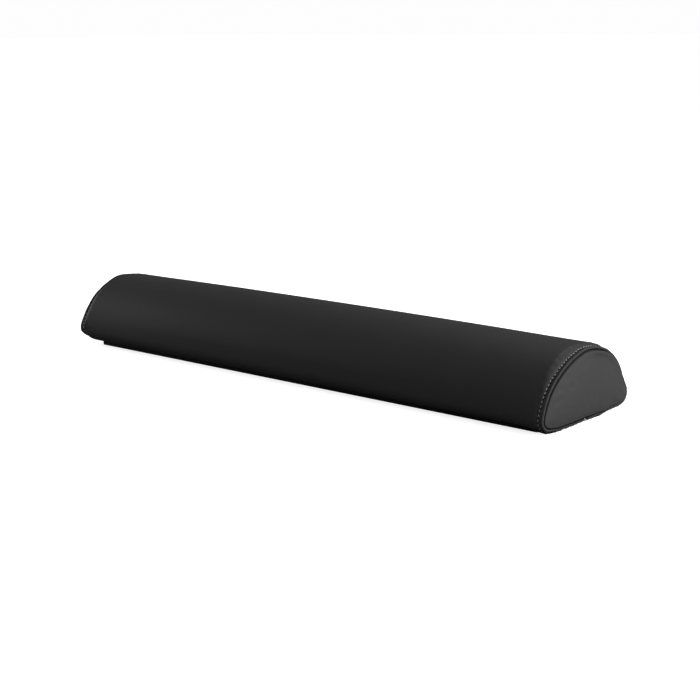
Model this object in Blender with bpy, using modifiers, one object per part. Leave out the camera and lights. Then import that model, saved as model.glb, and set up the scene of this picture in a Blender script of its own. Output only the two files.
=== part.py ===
"""Half-round bolster: a sewn vinyl cover over foam, stapled to a plywood board, with a rubber base pad.

Metres, +Z up. The bolster lies along X, and the origin is on the floor under its middle.
Every section across the bolster is a half-round: a superellipse arch over elliptical bottom corners.
The cover slopes down at each end and is folded back on itself, and the end panel's flange lies under
that fold. Two rows of topstitches, at STITCH_BACK from each fold, go through all three layers.
"""

import math
from collections import namedtuple

import bmesh
import bpy
from mathutils import Matrix, Vector

# Overall size
LENGTH = 0.700
WIDTH = 0.150
HEIGHT = 0.083
CROWN = 0.0022

# Materials by thickness, and the gap left between pieces that touch
VINYL = 0.001
BOARD_THICKNESS = 0.009
BASE_PAD_THICKNESS = 0.0047
GAP = 0.0003

# Heights of the layers, from the floor up
HEM_BOTTOM = BASE_PAD_THICKNESS + GAP
BOARD_BOTTOM = HEM_BOTTOM + VINYL + GAP
CORE_BOTTOM = BOARD_BOTTOM + BOARD_THICKNESS + GAP

# The half-round section in the middle, and where the cover is drawn in at the end seams
Section = namedtuple("Section", "half_width bottom top corner_y corner_z power_y power_z")
BODY = Section(WIDTH / 2, HEM_BOTTOM, HEIGHT, 0.0215, 0.0132, 2.13, 1.77)
SEAM = Section(BODY.half_width + 0.001, HEM_BOTTOM + 0.0005, HEIGHT - 0.0053, 0.0252, 0.0112, 1.99, 1.67)
CORNER_STEPS = 5
ARCH_STEPS = 14

# The end seam: a level band between the rolled ridge and a furrow with topstitches, and a shoulder behind it
PANEL_CROWN = 0.0035
PANEL_PROUD = 0.0015
RIDGE_X = LENGTH / 2 - PANEL_CROWN - PANEL_PROUD
DRAW_IN = 0.011
STITCH_BACK = 0.005
FURROW_HALF_WIDTH = 0.0013
FURROW_DEPTH = 0.0004
RIDGE_LIFT = 0.0003
FOLD_RADIUS = 0.00135
FOLD_STEPS = 4
SEAM_ALLOWANCE = 0.010

# The end panel: the groove round it, the bend into its flange, and its dome up to a level patch
GROOVE_DEPTH = 0.0032
GROOVE_WIDTH = 0.0005
PANEL_BEND_RADIUS = 0.0012
PANEL_BEND_STEPS = 2
DOME_CENTRE = 0.42
DOME_POWER = 2.2
LEVEL_PATCH_WIDTH = 0.40
LEVEL_PATCH_HEIGHT = 0.14
PANEL_DOME = (0.93, 0.8, 0.55, 0.0)
PAD_DOME = (0.8, 0.0)

# The underside: the hem's opening, and the join of the two edges at each end
OPENING_X = 0.305
OPENING_Y = 0.033
JOIN_GAP = 0.0006
JOIN_NOTCH = 0.0028

# The foam and the board inside
INNER_LENGTH = 2 * (RIDGE_X - DRAW_IN)
BOARD_WIDTH = 0.120
BOARD_CORNER = 0.008
BOARD_ROUND_OVER = 0.006
CORE_HALF_WIDTH = 0.064
CORE_TOP = 0.071
COMFORT_BOTTOM = 0.0085

# The base pad, set in from the sides and from the end seams
BASE_PAD_SIDE_INSET = 0.0185
BASE_PAD_END_INSET = 0.019
BASE_PAD_CORNER = 0.003
BASE_PAD_EDGE_ROUND = 0.0008
OPENING_CLEARANCE = 0.0005

# Bevel segments of a plate's corners in plan, and of its lower edge
PLATE_CORNER_SEGMENTS = 4
PLATE_EDGE_SEGMENTS = 3

# Upholstery staples, and their rows on the hem
STAPLE_CROWN = 0.011
STAPLE_LEG = 0.008
WIRE_THICKNESS = 0.0006
WIRE_WIDTH = 0.0012
STAPLE_TO_HEM = 0.00035
SIDE_ROW_Y = 0.043
SIDE_ROW_PITCH = 0.050
SIDE_ROW_COUNT = 13
END_ROW_X = 0.319
END_ROW_PITCH = 0.024
END_ROW_COUNT = 3

MERGE_DISTANCE = 0.00001


def clear_scene():
    """Remove every object, so the script gives the same result each time it runs."""
    for old in list(bpy.data.objects):
        bpy.data.objects.remove(old, do_unlink=True)


def new_collection(name):
    """A collection in the scene, emptied of what an earlier run left."""
    old = bpy.data.collections.get(name)
    if old:
        bpy.data.collections.remove(old)
    collection = bpy.data.collections.new(name)
    bpy.context.scene.collection.children.link(collection)
    return collection


def principled(name, colour, roughness, metallic=0.0):
    """A Principled material of one colour."""
    material = bpy.data.materials.get(name) or bpy.data.materials.new(name)
    material.use_nodes = True
    shader = material.node_tree.nodes["Principled BSDF"]
    shader.inputs["Base Color"].default_value = (*colour, 1.0)
    shader.inputs["Roughness"].default_value = roughness
    shader.inputs["Metallic"].default_value = metallic
    return material


def add_object(name, data, collection, material=None):
    """Link an object that holds the given mesh or curve."""
    made = bpy.data.objects.new(name, data)
    collection.objects.link(made)
    if material and not data.materials:
        data.materials.append(material)
    return made


def add_cutter(name, data):
    """An object that only cuts or joins others: drawn as wire and left out of renders."""
    made = add_object(name, data, CUTTERS)
    made.hide_render = True
    made.display_type = "WIRE"
    return made


def add_boolean(piece, operation, tool):
    """Cut the piece with another object, or join that object to it."""
    modifier = piece.modifiers.new(f"{operation.lower()} {tool.name}", "BOOLEAN")
    modifier.operation = operation
    modifier.solver = "EXACT"
    modifier.object = tool


def add_mirror(piece, along_x, along_y):
    """Complete a piece that is modelled on one side of the symmetry planes."""
    modifier = piece.modifiers.new("both sides", "MIRROR")
    modifier.use_axis = (along_x, along_y, False)
    modifier.merge_threshold = MERGE_DISTANCE


def add_wall(piece, thickness):
    """Give a sheet its thickness, inwards from the face that shows."""
    modifier = piece.modifiers.new("vinyl thickness", "SOLIDIFY")
    modifier.thickness = thickness
    modifier.offset = -1.0
    modifier.use_even_offset = True


def corner_curve(section):
    """Points (y, z) round the -Y bottom corner of a section, up to just below where the arch springs."""
    flat = section.half_width - section.corner_y
    spring = section.bottom + section.corner_z
    points = []
    for step in range(CORNER_STEPS):
        turn = math.pi / 2 * step / CORNER_STEPS
        points.append((-flat - section.corner_y * math.sin(turn), spring - section.corner_z * math.cos(turn)))
    return points


def arch_curve(section):
    """Points (y, z) of the -Y half of a section's arch, from where it springs up to the crown."""
    spring = section.bottom + section.corner_z
    points = []
    for step in range(ARCH_STEPS + 1):
        turn = math.pi / 2 * step / ARCH_STEPS
        across = max(0.0, math.cos(turn)) ** (2 / section.power_y)
        up = math.sin(turn) ** (2 / section.power_z)
        points.append((-section.half_width * across, spring + (section.top - spring) * up))
    points[-1] = (0.0, section.top)
    return points


def half_ring(section):
    """Points (y, z) of the -Y half of a section, from the underside's centre line up to the crown."""
    underside = [(0.0, section.bottom), (-OPENING_Y, section.bottom)]
    return underside + corner_curve(section) + arch_curve(section)


def lifted(ring, lift):
    """Move each point of a half ring outwards along its normal. Its two ends stay on the centre line."""
    moved = []
    for index, (y, z) in enumerate(ring):
        before = ring[index - 1] if index > 0 else (-ring[1][0], ring[1][1])
        after = ring[index + 1] if index + 1 < len(ring) else (-ring[-2][0], ring[-2][1])
        along = Vector((after[0] - before[0], after[1] - before[1])).normalized()
        moved.append((y - lift * along.y, z + lift * along.x))
    return moved


def station(back, lift, under_shoulder=False):
    """Half section as points in space, at a distance back from the right ridge and a lift from the cover.

    The cover rises over the shoulder from the topstitches inwards. A layer sewn under it stays level.
    """
    from_middle = 1.0 - back / RIDGE_X
    body = half_ring(BODY._replace(top=BODY.top - CROWN * from_middle**2))
    up_shoulder = min(max((back - STITCH_BACK) / (DRAW_IN - STITCH_BACK), 0.0), 1.0)
    drawn_in = 1.0 if under_shoulder else (1.0 - up_shoulder) ** 2
    blended = [Vector(a).lerp(Vector(b), drawn_in) for a, b in zip(body, half_ring(SEAM))]
    ring = lifted([tuple(point) for point in blended], lift)
    return [Vector((RIDGE_X - back, y, z)) for y, z in ring]


def arc(centre_back, centre_lift, radius, start, end, steps):
    """Points (back, lift) on an arc. At 0 degrees it lies towards the end, and at 90 it lies outwards."""
    points = []
    for step in range(steps + 1):
        turn = math.radians(start + (end - start) * step / steps)
        points.append((centre_back - radius * math.cos(turn), centre_lift + radius * math.sin(turn)))
    return points


def skin(name, rings, hole=(0, 0), start_face=False, end_face=False):
    """A mesh that joins each ring of points to the next. A ring may shrink to one point.

    The hole gives how many of the first rows, and of the first columns in them, stay without faces.
    """
    hole_rows, hole_columns = hole
    bm = bmesh.new()
    rows = [[bm.verts.new(point) for point in ring] for ring in rings]
    for number, (row, following) in enumerate(zip(rows, rows[1:])):
        for index in range(hole_columns if number < hole_rows else 0, len(row) - 1):
            bm.faces.new((row[index], following[index], following[index + 1], row[index + 1]))
    if start_face:
        bm.faces.new(rows[0])
    if end_face:
        bm.faces.new(reversed(rows[-1]))
    bmesh.ops.remove_doubles(bm, verts=bm.verts, dist=MERGE_DISTANCE)
    loose = [vertex for vertex in bm.verts if not vertex.link_faces]
    bmesh.ops.delete(bm, geom=loose, context="VERTS")
    mesh = bpy.data.meshes.new(name)
    bm.to_mesh(mesh)
    bm.free()
    return mesh


def smooth(mesh):
    """Shade a soft piece smooth, apart from its sharp edges."""
    mesh.shade_smooth()
    mesh.set_sharp_from_angle(angle=math.radians(40))


def flat_curve(name, outline, thickness):
    """A flat outline with a thickness, as a filled 2D curve."""
    curve = bpy.data.curves.new(name, "CURVE")
    curve.dimensions = "2D"
    curve.fill_mode = "BOTH"
    curve.extrude = thickness / 2
    spline = curve.splines.new("POLY")
    spline.points.add(len(outline) - 1)
    for point, (x, y) in zip(spline.points, outline):
        point.co = (x, y, 0.0, 1.0)
    spline.use_cyclic_u = True
    return curve


def curve_as_mesh(curve):
    """The closed mesh of a filled curve, with its caps welded on."""
    holder = bpy.data.objects.new(curve.name, curve)
    CUTTERS.objects.link(holder)
    evaluated = holder.evaluated_get(bpy.context.evaluated_depsgraph_get())
    mesh = bpy.data.meshes.new_from_object(evaluated)
    bpy.data.objects.remove(holder, do_unlink=True)
    bm = bmesh.new()
    bm.from_mesh(mesh)
    bmesh.ops.remove_doubles(bm, verts=bm.verts, dist=MERGE_DISTANCE)
    bm.to_mesh(mesh)
    bm.free()
    return mesh


def rounded_plate(name, length, width, bottom, top, corner, bottom_round):
    """A flat plate with rounded corners in plan and a rounded bottom edge."""
    bm = bmesh.new()
    bmesh.ops.create_cube(bm, size=1.0)
    size = Matrix.Diagonal((length, width, top - bottom, 1.0))
    bm.transform(Matrix.Translation((0.0, 0.0, (bottom + top) / 2)) @ size)
    upright = [edge for edge in bm.edges if abs(edge.verts[0].co.z - edge.verts[1].co.z) > GAP]
    bmesh.ops.bevel(
        bm, geom=upright, offset=corner, segments=PLATE_CORNER_SEGMENTS, profile=0.5, affect="EDGES"
    )
    if bottom_round:
        middle = (bottom + top) / 2
        underneath = [edge for edge in bm.edges if all(vertex.co.z < middle for vertex in edge.verts)]
        bmesh.ops.bevel(
            bm,
            geom=underneath,
            offset=bottom_round,
            segments=PLATE_EDGE_SEGMENTS,
            profile=0.5,
            affect="EDGES",
        )
    mesh = bpy.data.meshes.new(name)
    bm.to_mesh(mesh)
    bm.free()
    return mesh


def body_path():
    """Points (back, lift) of the cover's outer face, from mid length to where it starts to draw in."""
    return [(RIDGE_X - x, 0.0) for x in (0.0, OPENING_X / 2, OPENING_X)] + [(DRAW_IN, 0.0)]


def band_path():
    """Points (back, lift) of the cover's outer face down the shoulder and through the furrow."""
    return [
        ((DRAW_IN + STITCH_BACK) / 2, RIDGE_LIFT / 2),
        (STITCH_BACK + FURROW_HALF_WIDTH, RIDGE_LIFT),
        (STITCH_BACK, RIDGE_LIFT - FURROW_DEPTH),
        (STITCH_BACK - FURROW_HALF_WIDTH, RIDGE_LIFT),
    ]


def under_band_path(lift):
    """Points (back, lift) of a layer that the topstitches hold under the band, from the ridge inwards."""
    return [(STITCH_BACK, lift - FURROW_DEPTH), (SEAM_ALLOWANCE, lift)]


def make_cover_sleeve():
    """The vinyl over the arch, turned under the board, with its fold and allowance at both ends."""
    fold = arc(FOLD_RADIUS, RIDGE_LIFT - FOLD_RADIUS, FOLD_RADIUS, 90, -90, FOLD_STEPS)
    allowance = under_band_path(RIDGE_LIFT - 2 * FOLD_RADIUS)
    rings = [station(back, lift) for back, lift in body_path() + band_path() + fold]
    rings += [station(back, lift, under_shoulder=True) for back, lift in allowance]
    for ring in rings:
        near_fold = max(0.0, 1.0 - (RIDGE_X - ring[0].x) / STITCH_BACK)
        ring[0].y = -(JOIN_GAP + (JOIN_NOTCH - JOIN_GAP) * near_fold) / 2
    rows_in_opening = len([back for back, _ in body_path() if RIDGE_X - back < OPENING_X - MERGE_DISTANCE])
    mesh = skin("cover_sleeve", rings, hole=(rows_in_opening, 1))
    smooth(mesh)
    sleeve = add_object("cover_sleeve", mesh, PARTS, VINYL_BLACK)
    add_mirror(sleeve, along_x=True, along_y=True)
    add_wall(sleeve, VINYL)
    add_boolean(sleeve, "DIFFERENCE", STAPLE_CUTTER)
    return sleeve


def dome_rings(base, rise, shares):
    """Rings that rise along X while they shrink from a base ring to a level patch."""
    low = base[0].z
    high = base[-1].z
    centre = Vector((base[0].x, 0.0, low + DOME_CENTRE * (high - low)))
    patch = Matrix.Diagonal((0.0, LEVEL_PATCH_WIDTH, LEVEL_PATCH_HEIGHT))
    rings = []
    for share in shares:
        lift = Vector((rise * (1.0 - share**DOME_POWER), 0.0, 0.0))
        rings.append([(centre + patch @ (point - centre)).lerp(point, share) + lift for point in base])
    rings.append([centre + Vector((rise, 0.0, 0.0))] * len(base))
    return rings


def make_end_panels():
    """The two crowned D-shaped ends, each with the flange that is sewn under the sleeve's fold."""
    flange_lift = RIDGE_LIFT - 2 * FOLD_RADIUS - GAP
    bend_back = PANEL_BEND_RADIUS - PANEL_PROUD
    bend_lift = flange_lift - GROOVE_WIDTH - PANEL_BEND_RADIUS
    path = under_band_path(flange_lift)[::-1] + [(GROOVE_DEPTH, flange_lift - GROOVE_WIDTH)]
    path += arc(bend_back, bend_lift, PANEL_BEND_RADIUS, 90, 0, PANEL_BEND_STEPS)
    rings = [station(back, lift, under_shoulder=True) for back, lift in path]
    rings += dome_rings(rings[-1], PANEL_CROWN, PANEL_DOME)
    mesh = skin("end_panel", rings)
    smooth(mesh)
    for name, turn in (("end_panel_right", 0.0), ("end_panel_left", math.pi)):
        panel = add_object(name, mesh, PARTS, VINYL_BLACK)
        panel.rotation_euler.z = turn
        add_mirror(panel, along_x=False, along_y=True)
        add_wall(panel, VINYL)


def make_end_pads():
    """The soft foam plugs that fill and crown the end panels."""
    lift = RIDGE_LIFT - 2 * FOLD_RADIUS - VINYL - 3 * GAP
    rim_back = VINYL + GAP - PANEL_PROUD
    behind_groove = lift - GROOVE_WIDTH
    path = [(DRAW_IN - GAP, lift), (SEAM_ALLOWANCE, lift), (STITCH_BACK + VINYL, behind_groove)]
    path += [(rim_back, behind_groove)]
    rings = [station(back, lift, under_shoulder=True) for back, lift in path]
    rings += dome_rings(rings[-1], PANEL_CROWN, PAD_DOME)
    mesh = skin("end_pad", rings, start_face=True)
    smooth(mesh)
    for name, turn in (("end_pad_right", 0.0), ("end_pad_left", math.pi)):
        pad = add_object(name, mesh, PARTS, SOFT_FOAM)
        pad.rotation_euler.z = turn
        add_mirror(pad, along_x=False, along_y=True)


def core_outline(clearance):
    """The foam core's outline as (y, z), larger all round by a clearance."""
    arch = Section(
        CORE_HALF_WIDTH + clearance,
        CORE_BOTTOM - clearance,
        CORE_TOP + clearance,
        0.0,
        BODY.bottom + BODY.corner_z - CORE_BOTTOM + clearance,
        BODY.power_y,
        BODY.power_z,
    )
    half = [(-arch.half_width, arch.bottom)] + arch_curve(arch)
    return half + [(-y, z) for y, z in reversed(half[:-1])]


def make_foam_core():
    """The firm half-round block, cut straight along X from a sheet of foam."""
    curve = flat_curve("foam_core", core_outline(0.0), INNER_LENGTH)
    core = add_object("foam_core", curve, PARTS, FIRM_FOAM)
    core.matrix_world = ALONG_X


def make_comfort_layer():
    """The soft foam over the core, lapped down over the board's edges."""
    rings = [station(back, -VINYL - GAP) for back, _ in body_path()]
    for ring in rings:
        for point in ring:
            point.z = max(point.z, COMFORT_BOTTOM)
    mesh = skin("comfort_layer", rings, end_face=True)
    smooth(mesh)
    layer = add_object("comfort_layer", mesh, PARTS, SOFT_FOAM)
    add_mirror(layer, along_x=True, along_y=True)
    core = flat_curve("core_clearance", core_outline(GAP), LENGTH)
    core_tool = add_cutter("core_clearance", curve_as_mesh(core))
    core_tool.matrix_world = ALONG_X
    board = rounded_plate(
        "board_clearance", LENGTH, BOARD_WIDTH + 2 * GAP, 0.0, CORE_BOTTOM, BOARD_CORNER, 0.0
    )
    add_boolean(layer, "DIFFERENCE", core_tool)
    add_boolean(layer, "DIFFERENCE", add_cutter("board_clearance", board))


def make_base_board():
    """The plywood board, its lower edges rounded over so that the vinyl runs round them."""
    top = BOARD_BOTTOM + BOARD_THICKNESS
    mesh = rounded_plate(
        "base_board", INNER_LENGTH, BOARD_WIDTH, BOARD_BOTTOM, top, BOARD_CORNER, BOARD_ROUND_OVER
    )
    board = add_object("base_board", mesh, PARTS, PLYWOOD)
    add_boolean(board, "DIFFERENCE", STAPLE_CUTTER)


def make_base_pad():
    """The rubber pad under the hem, pressed up to the board inside the opening, dented by the staples."""
    length = 2 * (RIDGE_X - BASE_PAD_END_INSET)
    width = WIDTH - 2 * BASE_PAD_SIDE_INSET
    mesh = rounded_plate(
        "base_pad", length, width, 0.0, BASE_PAD_THICKNESS, BASE_PAD_CORNER, BASE_PAD_EDGE_ROUND
    )
    pad = add_object("base_pad", mesh, PARTS, RUBBER)
    raised = rounded_plate(
        "base_pad_middle",
        2 * (OPENING_X - OPENING_CLEARANCE),
        2 * (OPENING_Y - OPENING_CLEARANCE),
        BASE_PAD_THICKNESS / 2,
        BOARD_BOTTOM - GAP,
        OPENING_CLEARANCE,
        0.0,
    )
    add_boolean(pad, "UNION", add_cutter("base_pad_middle", raised))
    add_boolean(pad, "DIFFERENCE", STAPLE_CUTTER)


def staple_outline(clearance):
    """A staple seen from the side, crown down, as (x, y) from the top face of its crown."""
    outer = STAPLE_CROWN / 2 + clearance
    inner = STAPLE_CROWN / 2 - WIRE_THICKNESS - clearance
    crown_top = clearance
    crown_bottom = -WIRE_THICKNESS - clearance
    tip = STAPLE_LEG + clearance
    right = [(outer, crown_bottom), (outer, tip), (inner, tip), (inner, crown_top)]
    return right + [(-x, y) for x, y in reversed(right)]


def staple_places():
    """Each staple's name and placement: a row along each side of the hem and one across each end."""
    level = HEM_BOTTOM - STAPLE_TO_HEM
    places = []
    for side, y in (("front", -SIDE_ROW_Y), ("back", SIDE_ROW_Y)):
        for number in range(SIDE_ROW_COUNT):
            x = (number - (SIDE_ROW_COUNT - 1) / 2) * SIDE_ROW_PITCH
            move = Matrix.Translation((x, y, level))
            places.append((f"staple_{side}_{number + 1:02}", move @ Matrix.Rotation(math.pi / 2, 4, "X")))
    for side, x in (("left", -END_ROW_X), ("right", END_ROW_X)):
        for number in range(END_ROW_COUNT):
            y = (number - (END_ROW_COUNT - 1) / 2) * END_ROW_PITCH
            move = Matrix.Translation((x, y, level))
            places.append((f"staple_{side}_{number + 1:02}", move @ ALONG_X))
    return places


def make_staples():
    """The staples that hold the hem to the board."""
    curve = flat_curve("staple", staple_outline(0.0), WIRE_WIDTH)
    for name, place in staple_places():
        staple = add_object(name, curve, PARTS, STEEL)
        staple.matrix_world = place


def make_staple_cutter():
    """One cutter with the clearance of every staple."""
    single = curve_as_mesh(flat_curve("staple_clearance", staple_outline(GAP), WIRE_WIDTH + 2 * GAP))
    bm = bmesh.new()
    for _, place in staple_places():
        copy = single.copy()
        copy.transform(place)
        bm.from_mesh(copy)
        bpy.data.meshes.remove(copy)
    mesh = bpy.data.meshes.new("staple_clearances")
    bm.to_mesh(mesh)
    bm.free()
    return add_cutter("staple_clearances", mesh)


# Turns a flat outline drawn in XY to stand in YZ, with its thickness along X
ALONG_X = Matrix.Rotation(math.pi / 2, 4, "Z") @ Matrix.Rotation(math.pi / 2, 4, "X")

clear_scene()
PARTS = new_collection("half_round_bolster")
CUTTERS = new_collection("cutters")
VINYL_BLACK = principled("black upholstery vinyl", (0.027, 0.027, 0.027), 0.55)
SOFT_FOAM = principled("soft white foam", (0.72, 0.70, 0.64), 0.95)
FIRM_FOAM = principled("firm grey foam", (0.20, 0.21, 0.23), 0.95)
PLYWOOD = principled("birch plywood", (0.58, 0.42, 0.24), 0.6)
RUBBER = principled("black rubber sheet", (0.013, 0.013, 0.013), 0.8)
STEEL = principled("galvanised steel wire", (0.62, 0.62, 0.60), 0.35, 1.0)
STAPLE_CUTTER = make_staple_cutter()

make_base_board()
make_foam_core()
make_comfort_layer()
make_end_pads()
make_cover_sleeve()
make_end_panels()
make_base_pad()
make_staples()
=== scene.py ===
"""Half-round bolster: a sewn vinyl cover over foam, domed ends, topstitched seams and a rubber base pad.

Metres, +Z up. The bolster lies along X, and the origin is on the floor under its middle.
Both ends are sewn alike: the cover is folded back on itself in a rolled ridge, the end panel's flange lies
under that fold, and a row of topstitches holds the three layers in a furrow beside the ridge.
"""

import math
from collections import namedtuple

import bmesh
import bpy
import numpy as np
from bpy.props import FloatProperty, FloatVectorProperty, IntProperty, PointerProperty
from mathutils import Matrix, Vector


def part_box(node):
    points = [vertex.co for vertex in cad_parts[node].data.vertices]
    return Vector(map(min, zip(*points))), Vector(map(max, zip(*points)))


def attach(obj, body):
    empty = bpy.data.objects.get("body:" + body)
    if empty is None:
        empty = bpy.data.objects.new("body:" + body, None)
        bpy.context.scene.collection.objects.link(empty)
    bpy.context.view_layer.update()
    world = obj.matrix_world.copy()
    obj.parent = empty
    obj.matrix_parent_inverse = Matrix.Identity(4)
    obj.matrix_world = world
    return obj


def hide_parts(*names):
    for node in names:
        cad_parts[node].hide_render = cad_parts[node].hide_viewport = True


bl_info = {
    "name": "Half-Round Bolster",
    "version": (1, 0, 0),
    "blender": (4, 5, 0),
    "location": "3D View > Sidebar > Bolster",
    "description": "Builds the finished surfaces of a half-round upholstered bolster round its frame",
    "category": "Object",
}

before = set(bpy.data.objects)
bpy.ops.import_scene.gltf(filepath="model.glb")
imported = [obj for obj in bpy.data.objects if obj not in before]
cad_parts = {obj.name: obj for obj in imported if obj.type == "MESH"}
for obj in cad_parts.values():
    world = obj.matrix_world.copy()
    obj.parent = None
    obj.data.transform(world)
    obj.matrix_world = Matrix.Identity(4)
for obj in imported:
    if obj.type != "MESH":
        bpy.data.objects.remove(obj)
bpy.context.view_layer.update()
COVER_LOW, COVER_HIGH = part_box("cover_sleeve")
PANEL_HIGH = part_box("end_panel_right")[1]
BODY_NAME = "root"

# The cover's section at mid length and at the end seams: a superellipse arch over elliptical bottom corners
Section = namedtuple("Section", "half_width bottom top corner_y corner_z power_y power_z")
BODY = Section(0.0750, COVER_LOW.z, COVER_HIGH.z, 0.0215, 0.0132, 2.13, 1.77)
SEAM = Section(0.0760, COVER_LOW.z + 0.0005, COVER_HIGH.z - 0.0053, 0.0252, 0.0112, 1.99, 1.67)
OUTLINE_STEPS = 120
OUTLINE_SAMPLES = 1024
OUTLINE_ROUNDING = 0.0022
WELD = 0.000002

# The sheet of vinyl, and how its edge is folded and sewn. A back is a distance back from the ridge
VINYL = 0.001
RIDGE_X = COVER_HIGH.x
RIDGE_LIFT = 0.0003
STITCH_BACK = 0.005
SHOULDER_POWER = 2.0
SEAM_LENGTH = 0.37
STITCHES = 82
COLUMNS_PER_STITCH = 6
HOLE_CROWDING = 0.45

# A stitch's arch, in thicknesses of its thread, and the turns of its three plies, about 1 mm for each turn
ARCH_SUNK = -1.2
ARCH_PROUD = 1.5
TWISTS_PER_STITCH = 3.0

# Rows along the sheet: even ones over the body, closer ones at distances before the shoulder, then those
# down to the furrow, over it and on to the fold, with a gap between the stretches
BODY_ROWS = 12
CLOSER_FROM = 0.020
CLOSER_PLACES = (0.014, 0.009, 0.005, 0.002, 0.0)
FURROW_HALF = 0.0014
SHOULDER_GAP, FURROW_GAP, FOLD_GAP = 0.0006, 0.0004, 0.0003
SHOULDER_ROWS, FURROW_ROWS, RIDGE_ROWS = 8, 11, 6
FOLD_ROWS = 9
HIDDEN_BACKS = (0.0027, 0.0038, STITCH_BACK)

# The opening between the hems on the underside, and the band of the hem's edge under each ridge that gets a
# near-black material as painted shade
OPENING_X = 0.305
OPENING_Y = 0.033
OPENING_TOP = 0.010
PAINTED_SHADE_BACKS = (0.0012, 0.012)
PAINTED_SHADE_SIDES = (-0.074, 0.048)
PAINTED_SHADE_TOP = 0.0095

# The join of the cover's two edges, on the underside's centre line at each end
JOIN_GAP = 0.0006
JOIN_NOTCH = 0.0034
JOIN_REACH = 0.008
JOIN_TOP = 0.020

# How far each seam has settled outwards from its section, in mm, at shares of the ring from the underside's
# middle round the front, top and back
RIGHT_SETTLED = (
    (0.000, 0.9), (0.021, 1.0), (0.042, 1.5), (0.062, 1.6), (0.083, 1.5), (0.104, 1.7), (0.125, 1.9),
    (0.146, 1.0), (0.167, 1.1), (0.188, 1.9), (0.208, 1.6), (0.229, 1.3), (0.250, 0.8), (0.292, 1.0),
    (0.312, 0.6), (0.333, 0.2), (0.354, -0.8), (0.396, -1.2), (0.417, -1.5), (0.458, -1.2), (0.479, -0.1),
    (0.500, 0.0), (0.542, 0.3), (0.562, 0.6), (0.583, 1.1), (0.604, 1.3), (0.625, 1.2), (0.667, 0.9),
    (0.688, 0.3), (0.708, -0.8), (0.729, -1.5), (0.750, -0.4), (0.771, 1.9), (0.792, 0.8), (0.812, 1.3),
    (0.833, 0.0), (0.854, -0.7), (0.875, -0.7), (0.896, 1.0), (0.917, 2.0), (0.938, 1.0), (0.979, 1.1),
)
LEFT_SETTLED = (
    (0.104, 0.0), (0.125, 1.0), (0.146, -1.4), (0.167, -2.4), (0.188, -3.7), (0.208, -4.1), (0.229, 0.4),
    (0.250, 0.1), (0.271, -0.6), (0.292, -0.4), (0.312, -0.4), (0.333, 0.2), (0.354, 0.8), (0.375, 0.6),
    (0.396, 1.1), (0.417, 1.3), (0.438, 1.9), (0.458, 2.8), (0.479, 2.8), (0.500, 2.2), (0.521, 0.9),
    (0.542, 0.0),
)
SETTLED_ROUNDING = 0.008
FLOOR_GAP = 0.0006

# Where the settling fades in, each as the start and end of a smooth step: low on the ring, near the end,
# from further back beside the base pad, and only close to the ridge where the foam holds the cover out
SETTLED_LOW = (0.034, 0.010)
SETTLED_NEAR = (0.331, 0.342)
SETTLED_LONG = (0.300, 0.340)
BESIDE_PAD = (0.0565, 0.0665)
HELD_OUT = (0.333, 0.343)
HELD_SHARE = 0.75
INWARDS = (0.0008, 0.0020)

# What sewing adds near the ridge: how high each lift is, how far back its middle lies, and its half width.
# The holes and the puffs are measured from the stitch row, the others from the ridge
Lift = namedtuple("Lift", "height back width")
BAND_DIP = Lift(-0.0003, 0.0031, 0.0010)
HOLES = Lift(-0.0011, -0.0005, 0.0007)
PUFFS = Lift(0.00010, -0.0016, 0.0014)
GATHERS = Lift(0.00026, 0.0085, 0.0042)
RIDGE_WAVES = Lift(0.00016, 0.0008, 0.0020)
PLEATS = Lift(0.0022, 0.0042, 0.0022)
HEM_BULGE = Lift(0.0026, 0.0095, 0.0040)
LOW_FRONT = Lift(0.0010, 0.0, 0.0028)
FURROW_WIDTH = 0.0011
HOLE_WIDTH = 0.0006
BULGE_Y, BULGE_WIDTH = -0.062, 0.008
EASED_IN = 0.0010
ROW_WANDER = 0.0002
PRESSED_FLAT = 0.45
FLAT_MIDDLE = -0.012
ENDS_FROM = 0.2
END_SEEDS = ((1, 11), (-1, 23))

# The smooth steps between which these show: heights, sides and backs
EASED_HEIGHTS = (0.055, 0.025)
EASED_SHARES = (0.10, 0.18)
UNDERSIDE = (0.016, 0.010)
PLEATS_FRONT = (-0.077, -0.065)
PLEATS_BACK = (0.044, 0.024)
FLAT_SIDES = (0.060, 0.050)
FLAT_BACKS = (0.0032, 0.0017)
LOW_FRONT_HEIGHTS = (0.020, 0.008)
LOW_FRONT_SIDES = (0.025, 0.005)

# The end panel: how it lies against the seam, and its dome from the rim to the level patch at its middle
PANEL_PROUD = 0.0015
PANEL_BEND_RADIUS = 0.0012
PANEL_GAP = 0.0003
GROOVE_DEPTH = 0.0032
GROOVE_WIDTH = 0.0008
BEND_ROWS = 6
DOME_ROWS = 24
DOME_SPACING = 1.35
DOME_CENTRE = 0.42
DOME_POWER = 2.2
LEVEL_PATCH = (0.0, 0.40, 0.14)
RIM_GATHERS = 0.00018
RIM_SHARE = 0.12
RIM_FAR_TOP, RIM_TOP, RIM_LOW = 0.0014, 0.0012, -0.0008
RIM_FRONT_HEIGHTS = (0.014, 0.054)
RIM_BACK_HEIGHTS = (0.008, 0.026)
RIM_FAR_SIDES = (-0.005, 0.020)
RIM_FAR_HEIGHTS = (0.030, 0.060)
RIM_TOP_Y, RIM_TOP_WIDTH = 0.016, 0.016
RIM_TOP_HEIGHTS = (0.050, 0.060)
PANEL_COLUMNS = 3 * STITCHES

# The end pad: its flat back, how far its rim stays behind the panel's, its rounded edge and its low dome
PAD_BACK_X = 0.3343
PAD_INSET = 0.0022
PAD_EDGE = 0.0012
PAD_SIDE = 0.0030
PAD_BEVEL = 0.0003
PAD_DOME_ROWS = 12
PAD_RISE = 0.8
PAD_COLUMNS = STITCHES

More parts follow.
